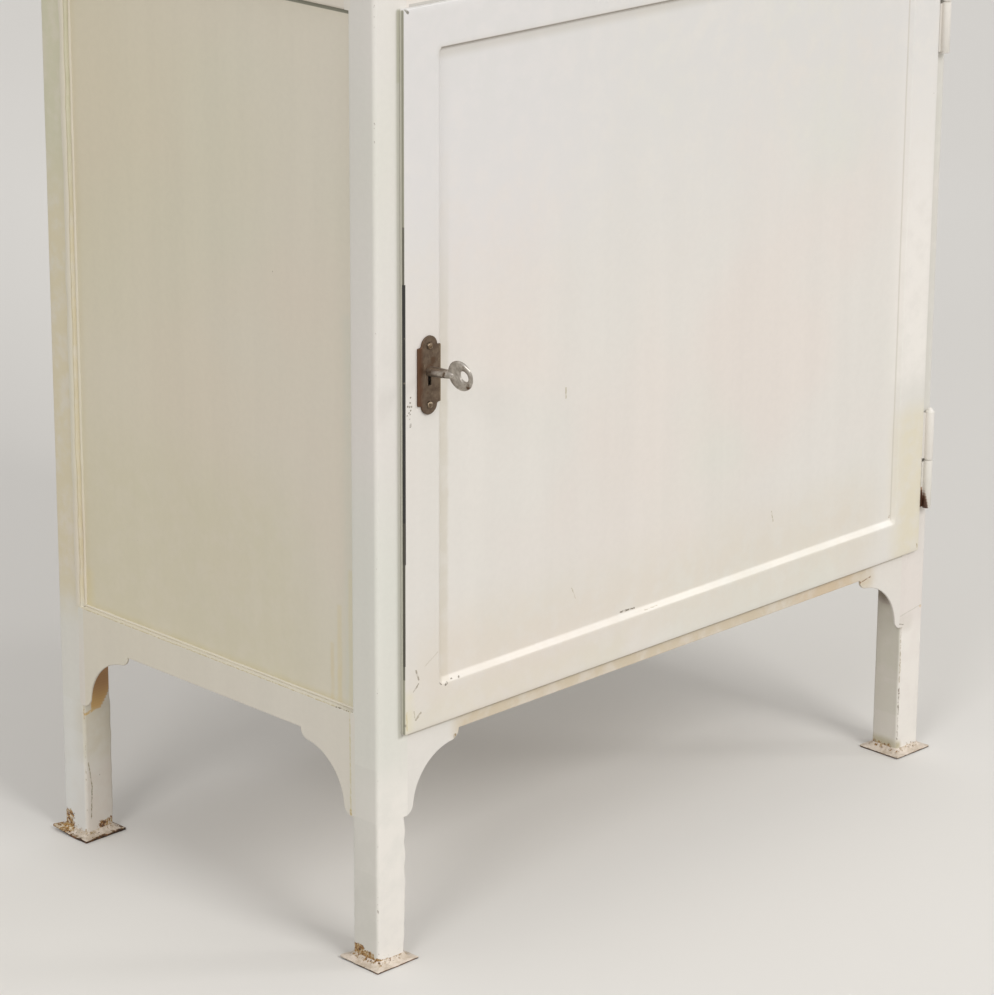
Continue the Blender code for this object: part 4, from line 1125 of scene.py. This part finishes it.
# Section of a weld, in millimetres: across the seam and out of the face
WELD_SECTION = [
    (-4.2, -0.06), (-3.2, 0.03), (-2.0, 0.07), (-0.6, 0.09), (0.8, 0.08), (2.0, 0.05), (3.1, -0.05),
    (2.2, -1.2), (1.0, -2.2), (0.2, -3.0), (-0.8, -3.0), (-1.7, -2.3), (-3.2, -0.9),
]


def weld(bm, across, outward, corner, way, low, high, seed):
    """Ground-down weld along an upright seam: its section is across the seam and out of the face."""
    steps = max(4, round((high - low) / WELD_STEP))
    rings = []
    for i, z in enumerate(spread(low, high, steps)):
        end = 0.75 if i in (0, steps) else 1.0
        swell = 1 + 0.5 * noise.noise(Vector((seed, corner.x * 9, z * 140)))
        middle = corner + Vector((0, 0, z))
        rings.append([
            middle + (across * way * side * end + outward * out * (swell if out > 0 else 1)) * MM
            for side, out in WELD_SECTION
        ])
    loft(bm, rings)


def frame_welds():
    """Welds where the posts meet aprons and rails, one piece for each face of the frame."""
    def band(node):
        low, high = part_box(node)
        return (low.z + 0.4 * MM, high.z - 0.4 * MM)

    apron_band = (BRACKET_LOW + 0.4 * MM, FLANGE_TOP - 0.3 * MM)
    back_band = (LEG_HEIGHT + 0.4 * MM, FLANGE_TOP - 0.4 * MM)
    top_band = band("top_rail_front")
    side_bands = (apron_band, band("mid_rail_left"), top_band)
    for face, finish, axis, plane, out, bands in (
        ("front", front_post_enamel, Y, Y0, -1, (apron_band, band("mid_rail_front"), top_band)),
        ("back", frame_enamel, Y, Y1, 1, (back_band, top_band)),
        ("left", seam_weld_enamel, X, X0, -1, side_bands),
        ("right", seam_weld_enamel, X, X1, 1, side_bands),
    ):
        across = point(axis, 1, 0, 0)
        outward = point(axis, 0, 0, out)
        corners = OPEN_Y if axis == X else OPEN_X
        seams = [(*run, *corner) for run in bands for corner in corners]
        bm = bmesh.new()
        for i, (low, high, place, way) in enumerate(seams):
            weld(bm, across, outward, point(axis, place, 0, plane), way, low, high, i * 3.1)
        piece(f"{face}_frame_welds", bm, finish, like="front_apron", sharp=50)


def bead(bm, start, end, radius, seed, squash):
    """Uneven bead of sealant or paint along a straight run; squash flattens it along X."""
    line = end - start
    side = Vector((1, 0, 0))
    up = line.normalized().cross(side)
    rings = []
    for share in spread(0, 1, max(6, round(line.length / BEAD_STEP))):
        centre = start + line * share
        swell = 1 + 0.35 * noise.noise(centre * 60 + Vector((seed, 0, 0)))
        wander = up * noise.noise(centre * 35 + Vector((0, seed, 0))) * radius * 0.25
        rings.append([
            centre + wander + (side * a * squash + up * b) * radius * swell
            for a, b in circle((0, 0), 1, 10)
        ])
    loft(bm, rings)


def panel_beads(label, face, post_face, way):
    """Beads beside a side panel: thin ones in its corners and a flat one down the back post's edge."""
    y0, y1, z0, z1 = edges_of("left_side_panel", X)
    edge = 0.4 * MM
    post_edge = OPEN_Y1 + 2.8 * MM
    bm = bmesh.new()
    for x, run_y, run_z, radius, seed, squash in (
        (face, (y0 + edge, y0 + edge), (z1, z0), 0.8, 3.0, 1.0),
        (face, (y0 + edge, y1 - edge), (z0 + edge, z0 + edge), 1.0, 5.0, 1.0),
        (face, (y1 - edge, y1 - edge), (z0, z1), 1.2, 7.0, 1.0),
        (post_face, (post_edge, post_edge), (FLANGE_TOP + 1 * MM, z1), 2.5, 9.0, 0.32),
    ):
        start, end = [Vector((x, y, z)) for y, z in zip(run_y, run_z)]
        bead(bm, start, end, radius * MM, way * seed, squash)
    piece(f"{label}_panel_sealant", bm, seam_enamel, like="left_side_panel", sharp=60)


def grid_sheet(axis, edges, near, far, steps):
    """Closed sheet with a grid on both faces."""
    a0, a1, b0, b1 = edges
    bm = bmesh.new()
    borders = []
    for t in (near, far):
        rows = [
            [bm.verts.new(point(axis, a, b, t)) for a in spread(a0, a1, steps[0])]
            for b in spread(b0, b1, steps[1])
        ]
        for low, high in zip(rows, rows[1:]):
            for i in range(steps[0]):
                bm.faces.new((low[i], low[i + 1], high[i + 1], high[i]))
        borders.append(
            rows[0] + [row[-1] for row in rows[1:]] + rows[-1][-2::-1] + [row[0] for row in rows[-2:0:-1]]
        )
    near_border, far_border = borders
    for i in range(len(near_border)):
        j = (i + 1) % len(near_border)
        bm.faces.new((near_border[i], near_border[j], far_border[j], far_border[i]))
    return bm


def centred(low, high, axis, fade):
    """Weight for rumple: 0 along the edges of a sheet, rising to 1 further in."""
    others = other_axes(axis)
    return lambda co: smoothstep(min(min(co[i] - low[i], high[i] - co[i]) for i in others), 0, fade)


def wavy_panel(node, name, axis, finish, amount):
    """Thin sheet that bulges in and out a little between its edges."""
    low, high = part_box(node)
    steps = [max(8, round((high[i] - low[i]) / PANEL_STEP)) for i in other_axes(axis)]
    bm = grid_sheet(axis, edges_of(node, axis), low[axis], high[axis], steps)
    inside = centred(low, high, axis, 40 * MM)
    rumple(bm, axis, amount, 7, 4.4, inside)
    rumple(bm, axis, amount * 0.3, 24, 1.2, inside)
    piece(name, bm, finish, (node,))


def top_cover():
    """Top sheet with a hollow moulding under its front and side edges."""
    low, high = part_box("top_cover")
    sheet_low = POST_HIGH.z + 0.3 * MM
    plate = soften(box(low.x, high.x, low.y, high.y, sheet_low, high.z), 0.8 * MM)
    lip = X0 - low.x - 0.3 * MM
    bottom = low.z
    section = profile((0, sheet_low, (0.3, 0.9)), (0, bottom, (0.3, 0.5), (0.8, 0), (2.4, 0)))
    section += arc((lip - 0.3 * MM, bottom), lip - 3.0 * MM, 180, 92, 14)
    section += profile((lip, bottom + lip, (-0.3, -2.4), (0, -1.6)), (lip, sheet_low, (0, 0.9)))
    back = Y1 - 0.3 * MM
    moulding = loft(bmesh.new(), [
        [Vector((x + way_x * out, y + way_y * out, z)) for out, z in section]
        for x, y, way_x, way_y in ((X0, back, -1, 0), (X0, Y0, -1, -1), (X1, Y0, 1, -1), (X1, back, 1, 0))
    ])
    piece("top_cover_sheet", boolean(plate, moulding, "UNION"), frame_enamel, ("top_cover",), weighted=True)


# Finish, ridges and bend of each leg; ridges and bends are in millimetres
LEGS = {
    "front_left": (front_post_enamel, [(1, 2.6, 3.2)], (0.9, -1)),
    "front_right": (front_post_enamel, [(-1, 0.6, 2.6)], (0.5, 1)),
    "back_left": (back_post_enamel, [(-1, 0.6, 2.6), (1, 1.4, 3.2)], (2.6, -1)),
    "back_right": (back_post_enamel, [], ()),
}
for leg, (finish, ridges, bend) in LEGS.items():
    post(leg, finish, ridges)
    foot_plate(leg, *bend)
rail("bottom_rail_back", "back_bottom_rail_tube", X, frame_enamel)
rail("mid_rail_front", "front_mid_rail_tube", X, front_rail_enamel)
rail("top_rail_front", "front_top_rail_tube", X, frame_enamel)
rail("top_rail_back", "back_top_rail_tube", X, frame_enamel)
for side in ("left", "right"):
    rail(f"mid_rail_{side}", f"{side}_mid_rail_tube", Y, side_rail_enamel)
    rail(f"top_rail_{side}", f"{side}_top_rail_tube", Y, frame_enamel)
apron("front_apron", "front_apron_pressing", X, (OPEN_X0, OPEN_X1), Y0, 1, front_rail_enamel)
for side, x, inward in (("left", X0, 1), ("right", X1, -1)):
    apron(f"{side}_apron", f"{side}_apron_pressing", Y, (OPEN_Y0, OPEN_Y1), x, inward, side_rail_enamel)
frame_welds()
wavy_panel("left_side_panel", "left_panel_sheet", X, side_enamel, 0.5 * MM)
wavy_panel("right_side_panel", "right_panel_sheet", X, side_enamel, 0.5 * MM)
wavy_panel("back_panel", "back_panel_sheet", Y, inside_enamel, 0.6 * MM)
panel_beads("left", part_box("left_side_panel")[0].x, X0, -1)
panel_beads("right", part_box("right_side_panel")[1].x, X1, 1)
rounded("cabinet_floor", "floor_sheet", 0.4, inside_enamel)
rounded("middle_deck", "middle_deck_sheet", 0.4, inside_enamel)
top_cover()


# Shelves and glazing

def pane(node, name, width=0.4):
    """Pane with ground edges, which look greener than its faces."""
    bm = softened_node(node, width * MM, steps=2)
    low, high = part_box(node)
    thin = min((X, Y, Z), key=lambda i: high[i] - low[i])
    for face in bm.faces:
        face.material_index = 0 if abs(face.normal[thin]) > 0.99 else 1
    piece(name, bm, (clear_glass, glass_edge), (node,), weighted=True)


rounded("steel_shelf", "steel_shelf_sheet", 0.6, inside_enamel)
for side in ("left", "right"):
    rounded(f"steel_shelf_runner_{side}", f"{side}_shelf_runner", 0.35, inside_enamel)
    rounded(f"{side}_glazing_channel", f"{side}_glazing_frame", 0.4, frame_enamel)
    pane(f"{side}_side_glass", f"{side}_side_pane")
    for i in (1, 2):
        rounded(f"glass_shelf_bearer_{i}_{side}", f"{side}_shelf_bearer_{i}", 0.8, inside_enamel)
for i in (1, 2):
    pane(f"glass_shelf_{i}", f"glass_shelf_{i}_plate", 1.0)


# Doors

def keyhole(key_z, front, back, room=0.0):
    """Cutter for a round hole with a slot below it; room widens it."""
    half = KEYHOLE_SLOT / 2 + room
    radius = KEYHOLE_RADIUS + room
    shoulder = math.degrees(math.asin(half / radius))
    shape = arc((KEY_X, key_z), radius, -90 + shoulder, 270 - shoulder, 32)
    drop = key_z - KEYHOLE_DROP - room
    shape += [(KEY_X - half, drop), (KEY_X + half, drop)]
    return lofted(Y, [(shape, front), (shape, back)])


def screw_heights(key_z):
    middle = key_z - ESCUTCHEON_DROP
    return (middle - SCREW_SPACING / 2, middle + SCREW_SPACING / 2)


def lock_holes(bm, key_z, front, back):
    """Cuts the two screw holes and a keyhole wider than the plate's through a sheet."""
    bm = boolean(bm, keyhole(key_z, front, back, LOCK_ROOM))
    for z in screw_heights(key_z):
        hole = circle((KEY_X, z), SCREW_HOLE_RADIUS, 16)
        bm = boolean(bm, lofted(Y, [(hole, front), (hole, back)]))
    return bm


def pressed(share, blend=0.16):
    """Height of a pressed slope, from 0 on the border to 1 on the floor, with rounded ends."""
    if share > 0.5:
        return 1 - pressed(1 - share, blend)
    if share >= blend:
        return share
    return max(share + blend, 0) ** 2 / (4 * blend)


def pressing(sections, corner_steps, side_steps, closed=False):
    """Sheet from sections (edges, corner radius, depth)."""
    return lofted(Y, [
        (outline(edges, radius, corner_steps, side_steps), y) for edges, radius, y in sections
    ], closed)


def lower_door_skin():
    """Face sheet with a pressed field, and the edges turned back."""
    low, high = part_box("lower_door_skin")
    face = edges_of("lower_door_skin", Y)
    field_top = inset(face, *DOOR_BORDERS)
    inner = DOOR_FRONT + SHEET
    rim_back = DOOR_FRONT + DOOR_RIM + RIM_REACH

    def slope(share, depth=0.0):
        edges = inset(field_top, *[share * width for width in FIELD_SLOPES])
        return (edges, (3.6 - 0.6 * share) * MM, DOOR_FRONT + FIELD_DEPTH * pressed(share) + depth)

    def field(share, depth=0.0):
        a0, a1, b0, b1 = slope(1.3)[0]
        across, up = (a1 - a0) / 2 * share, (b1 - b0) / 2 * share
        edges = inset((a0, a1, b0, b1), across, across, up, up)
        return (edges, (3 - 2.4 * share) * MM, DOOR_FRONT + FIELD_DEPTH + depth)

    def border(share):
        return (inset(field_top, *[-width * share for width in DOOR_BORDERS]), 2.0 * MM, DOOR_FRONT)

    bm = pressing([
        *map(field, (0.97, 0.8, 0.62, 0.46, 0.32, 0.2, 0.1, 0.035)),
        *map(slope, (1.3, 1.16, 1.05, 0.95, 0.84, 0.5, 0.16, 0.05, -0.05, -0.16, -0.5)),
        *map(border, (0.3, 0.6, 0.85)),
        *rolled_edge(face, (90, 60, 30, 0)),
        *rims(face, rim_back, (0, 1.3, -0.2), (0.2, 1.2, 0), (1.1, 1.0, 0), (1.2, 1.0, -0.2)),
        *rims(face, inner, (1.4, 1.0, 0), (10, 1.6, 0)),
        *[slope(share, SHEET) for share in (-0.2, 0.0, 0.5, 1.0, 1.3)],
        *[field(share, SHEET) for share in (0.1, 0.32, 0.62, 0.97)],
    ], 6, 26)
    inside = centred(low, high, Y, 30 * MM)
    rumple(bm, Y, 0.30 * MM, 8, 5.3, inside)
    rumple(bm, Y, 0.10 * MM, 27, 9.6, inside)
    bm = lock_holes(bm, KEY_Z["lower"], DOOR_FRONT - 2 * MM, DOOR_FRONT + 3 * MM)
    piece("lower_door_pressing", bm, door_enamel, ("lower_door_skin",), sharp=40)


def lower_door_liner():
    """Tray behind the door's face, with a pressed panel in its back."""
    low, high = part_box("lower_door_liner")
    edges = edges_of("lower_door_liner", Y)
    rib = 48
    bm = pressing([
        *rims(edges, high.y - SHEET, (120, 6, 0), (rib + 12, 6, 0), (rib + 8, 6, 0), (rib, 6, 0)),
        *rims(edges, high.y - SHEET, (2.2, 1, 0), (1.2, 1.2, -0.8)),
        *rims(edges, low.y, (1.2, 1.2, 0), (0, 2, 0)),
        *rims(edges, high.y, (0, 2, -1.6), (0.5, 2, -0.5), (1.6, 2, 0), (rib - 2, 6, 0)),
        *rims(edges, high.y, (rib + 0.5, 6, -0.25), (rib + 3, 6, -0.9), (rib + 5.5, 6, -1.0)),
        *rims(edges, high.y, (rib + 14, 6, -1.0), (120, 6, -1.0)),
    ], 5, 8)
    bm = lock_holes(bm, KEY_Z["lower"], high.y - 3 * MM, high.y + 2 * MM)
    piece("lower_door_tray", bm, inside_enamel, ("lower_door_liner",), sharp=40)


def upper_door_frame():
    """Pressed surround of the upper pane."""
    face = edges_of("upper_door_frame", Y)
    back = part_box("upper_door_frame")[1].y
    inner, rim_back = DOOR_FRONT + SHEET, DOOR_FRONT + DOOR_RIM
    rebate = inset(edges_of("upper_door_glass", Y), -0.5 * MM)
    aperture = inset(rebate, REBATE)
    body = (
        OPEN_X0 + 2 * MM, OPEN_X1 - 2 * MM,
        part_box("mid_rail_front")[1].z + 3.5 * MM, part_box("top_rail_front")[0].z - 2 * MM,
    )
    sections = rolled_edge(face, (0, 30, 60, 90))
    for share in (0.3, 0.7):
        away = DOOR_ROLL + (GLAZED_BORDER - DOOR_ROLL) * share
        sections.append((inset(face, away), 2.4 * MM, DOOR_FRONT))
    for swing in map(math.radians, (90, 60, 30, 0)):
        out, deep = 1.1 * math.cos(swing) - 1.1, 1.1 - 1.1 * math.sin(swing)
        sections += rims(aperture, DOOR_FRONT, (out, 1.8, deep))
    sections += [
        *rims(aperture, inner, (0, 1.8, 0)), *rims(rebate, inner, (0, 0.8, 0)),
        *rims(rebate, back, (0, 0.8, -0.4), (-0.4, 0.8, 0)),
        *rims(body, back, (1.2, 2.0, 0), (0.3, 2.0, -0.4), (0, 2.0, -1.2)),
        *rims(body, rim_back, (0, 2.0, 0)), *rims(face, rim_back, (0.2, 1.2, 0), (0, 1.3, -0.2)),
    ]
    bm = pressing(sections, 6, 20, closed=True)
    bm = lock_holes(bm, KEY_Z["upper"], DOOR_FRONT - 2 * MM, back + 2 * MM)
    piece("upper_door_surround", bm, upper_door_enamel, ("upper_door_frame",), sharp=40)


lower_door_skin()
lower_door_liner()
upper_door_frame()
pane("upper_door_glass", "upper_door_pane")
rounded("upper_door_bead", "upper_door_glazing_bead", 0.5, upper_door_enamel)


# Hinges

def knuckle(node, name, finish):
    """Upper half of a lift-off hinge: bored barrel with a domed tip, and the leaf to the door's rim."""
    low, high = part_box(node)
    x = high.x - HINGE_BARREL_RADIUS
    radius = HINGE_BARREL_RADIUS - HINGE_SKIN
    top = high.z - 2.8 * MM
    steps = profile(
        (HINGE_BORE, low.z + HINGE_PIN_LENGTH, (0, 0)), (HINGE_BORE, low.z, (0, 0.3), (0.3, 0)),
        (radius, low.z, (-0.35, 0), (-0.08, 0.12), (0, 0.4)),
        (radius, top, (0, -0.5), (-0.15, -0.1), (-0.7, 0.3), (-1.1, 0.7), (-1.35, 1.2), (-1.8, 1.8)),
        (radius, top, (-2.4, 2.35), (-3.0, 2.7)), (radius, high.z, (-3.4, 0)),
    )
    leaf_end = x - HINGE_BORE - 0.6 * MM
    rim_back = DOOR_FRONT + DOOR_RIM
    leaf = box(low.x, leaf_end, rim_back - 2.4 * MM, rim_back, low.z + 1.2 * MM, top - 1.2 * MM)
    barrel = turned((x, low.y + HINGE_BARREL_RADIUS), steps)
    piece(name, boolean(barrel, soften(leaf, 0.5 * MM), "UNION"), finish, (node,), sharp=50)


def pintle(node, name, finish):
    """Lower half of a lift-off hinge: barrel with its pin, and the pad welded to the post."""
    low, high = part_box(node)
    x = (low.x + high.x) / 2
    radius = HINGE_BARREL_RADIUS - HINGE_SKIN
    split_z = high.z - HINGE_PIN_LENGTH
    steps = profile(
        (radius, low.z, (-0.9, 0), (-0.3, 0.15), (0, 0.6)),
        (radius, split_z, (0, -0.4), (-0.08, -0.12), (-0.35, 0)),
        (HINGE_PIN_RADIUS, split_z, (0, 0)), (HINGE_PIN_RADIUS, high.z, (0, -0.5), (-0.5, 0)),
    )
    pad = box(
        DOOR_X1 + 1.0 * MM, x + radius * 0.75, DOOR_FRONT + 0.9 * MM, Y0 - 0.3 * MM,
        low.z + 1.2 * MM, split_z - 1.2 * MM,
    )
    barrel = turned((x, low.y + HINGE_BARREL_RADIUS), steps)
    piece(name, boolean(barrel, soften(pad, 0.5 * MM), "UNION"), finish, (node,), sharp=50)


for door in KEY_Z:
    for end in ("bottom", "top"):
        knuckle(f"{door}_door_knuckle_{end}", f"{door}_{end}_hinge_upper_half", hinge_enamel)
        finish = lower_pintle_enamel if (door, end) == ("lower", "bottom") else hinge_enamel
        pintle(f"{door}_hinge_pintle_{end}", f"{door}_{end}_hinge_lower_half", finish)


# Locks

def escutcheon(node, name, key_z):
    """Plate with a lobe at each end, a rounded rim, a keyhole and two countersunk holes."""
    low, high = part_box(node)
    half = (high.x - low.x) / 2
    middle = key_z - ESCUTCHEON_DROP
    fillet = 1.1 * MM
    rise = math.degrees(math.asin(fillet / ESCUTCHEON_LOBE))
    corner = [
        (half, -0.5 * MM), (half - 0.5 * MM, 0), (ESCUTCHEON_LOBE + fillet, 0),
        (ESCUTCHEON_LOBE + fillet * 0.3, fillet * 0.3),
    ]
    shape = []
    for way, start in ((1, 0), (-1, 180)):
        shoulder = middle + way * ESCUTCHEON_BODY / 2
        shape += [(KEY_X + way * out, shoulder + way * up) for out, up in corner]
        shape += arc((KEY_X, shoulder), ESCUTCHEON_LOBE, start + rise, start + 180 - rise, 26)
        shape += [(KEY_X - way * out, shoulder + way * up) for out, up in reversed(corner)]
    bm = lofted(Y, [(shape, high.y), (shape, low.y)])
    bmesh.ops.recalc_face_normals(bm, faces=bm.faces)
    rim = [edge for edge in bm.edges if all(abs(vert.co.y - low.y) < 1e-6 for vert in edge.verts)]
    bevel(bm, rim, 0.45 * MM, BEVEL_STEPS)
    bm = boolean(bm, keyhole(key_z, low.y - 1 * MM, high.y + 1 * MM))
    for z in screw_heights(key_z):
        hole = circle((KEY_X, z), SCREW_HOLE_RADIUS, 24)
        wide = circle((KEY_X, z), SCREW_HOLE_RADIUS + 0.8 * MM, 24)
        sink = [(wide, low.y - 0.1 * MM), (hole, low.y + 0.7 * MM), (hole, high.y + 1 * MM)]
        bm = boolean(bm, lofted(Y, sink))
    piece(name, bm, bronze_plate, (node,), weighted=True)


def screw(name, label, z, turn, nodes):
    """Round-headed slotted screw."""
    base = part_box(f"{label}_escutcheon")[0].y - 0.3 * MM
    steps = profile((0, base, (0.7, 6), (1.2, 5), (1.2, 0), (2.34, 0)))
    for swing in map(math.radians, (8, 22, 38, 54, 70, 84)):
        steps.append((SCREW_HEAD * math.cos(swing) ** 0.8, base - SCREW_HEIGHT * math.sin(swing)))
    bm = turned((KEY_X, z), steps, Y, 28)
    slot = box(-SCREW_HEAD, SCREW_HEAD, -3 * SCREW_HEIGHT, -0.55 * SCREW_HEIGHT, -0.4 * MM, 0.4 * MM)
    place = Matrix.Translation((KEY_X, base, z)) @ Matrix.Rotation(math.radians(turn), 4, "Y")
    bmesh.ops.transform(slot, matrix=place, verts=slot.verts)
    piece(name, boolean(bm, slot), screw_brass, nodes, like=f"{label}_escutcheon", sharp=40)


def key_piece():
    """Old cabinet key, a little tilted in its worn lock: flat ring bow, plain shank and a notched bit."""
    low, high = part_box("lower_key")
    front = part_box("lower_escutcheon")[0].y
    bow_y = low.y + BOW_RADIUS
    z = KEY_Z["lower"]

    def ring(y, rows):
        rows = rows + [(radius, -out) for radius, out in reversed(rows)]
        return [(circle((y, z), radius * MM, 56), KEY_X + out * MM) for radius, out in rows]

    bow = lofted(X, [
        *ring(bow_y, [(10.7, 1.1), (10.98, 1.012), (11.26, 0.77), (11.5, 0.33)]),
        *ring(bow_y - 4 * MM, [(4.8, -1.1), (4.5, -0.88), (4.3, -0.385)]),
    ], closed=True)
    shank = turned((KEY_X, z), profile(
        (0, bow_y + BOW_RADIUS, (1.0, -6.0), (1.8, -5.0), (2.6, -3.2), (3.0, -1.2), (3.2, 1.0), (3.4, 6.0)),
        (0, front, (3.6, 0.8)),
        (SHANK_RADIUS, front, (0, 1.2)),
        (SHANK_RADIUS, high.y, (0, -0.6), (-0.6, 0)),
    ), Y, 28)
    end = high.y - 1 * MM
    bit = box(KEY_X - 1 * MM, KEY_X + 1 * MM, end - 6 * MM, end, z - 8.5 * MM, z - 1.2 * MM)
    notch = box(KEY_X - 2 * MM, KEY_X + 2 * MM, end - 3.6 * MM, end - 2.4 * MM, z - 10 * MM, z - 6.2 * MM)
    bit = boolean(soften(bit, 0.25 * MM), notch)
    bm = boolean(boolean(bow, shank, "UNION"), bit, "UNION")
    for vert in bm.verts:
        vert.co.z += max(0, front - vert.co.y) * KEY_TILT
    axis = Matrix.Translation((KEY_X, front, z))
    turn = axis @ Matrix.Rotation(-KEY_TURN, 4, "Y") @ axis.inverted()
    bmesh.ops.transform(bm, matrix=turn, verts=bm.verts)
    piece("cabinet_key", bm, key_nickel, ("lower_key",), sharp=45)


def lock_rivets(label):
    """Rivet heads on the lock case."""
    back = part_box(f"{label}_lock_case")[1].y
    x0, x1, z0, z1 = inset(edges_of(f"{label}_lock_case", Y), 5 * MM)
    bm = bmesh.new()
    for x, z in ((x0, z0), (x0, z1), (x1, z0), (x1, z1)):
        steps = profile((0, back, (2.0, -0.4), (2.0, 0.2), (1.6, 0.7), (0.7, 1.0)))
        loft(bm, [[point(Y, a, b, t) for a, b in circle((x, z), radius, 20)] for radius, t in steps])
    piece(f"{label}_lock_rivets", bm, lock_steel, like=f"{label}_lock_case", sharp=50)


for label, key_z in KEY_Z.items():
    escutcheon(f"{label}_escutcheon", f"{label}_lock_plate", key_z)
for (label, key_z), turns in zip(KEY_Z.items(), ((35, -28), (12, 68))):
    for end, z, turn in zip(("bottom", "top"), screw_heights(key_z), turns):
        nodes = (f"lower_escutcheon_screw_{end}",) if label == "lower" else ()
        screw(f"{label}_plate_screw_{end}", label, z, turn, nodes)
    rounded(f"{label}_lock_case", f"{label}_lock_box", 0.3, lock_steel)
    rounded(f"{label}_lock_bolt", f"{label}_bolt_bar", 0.5, lock_steel)
    lock_rivets(label)
key_piece()
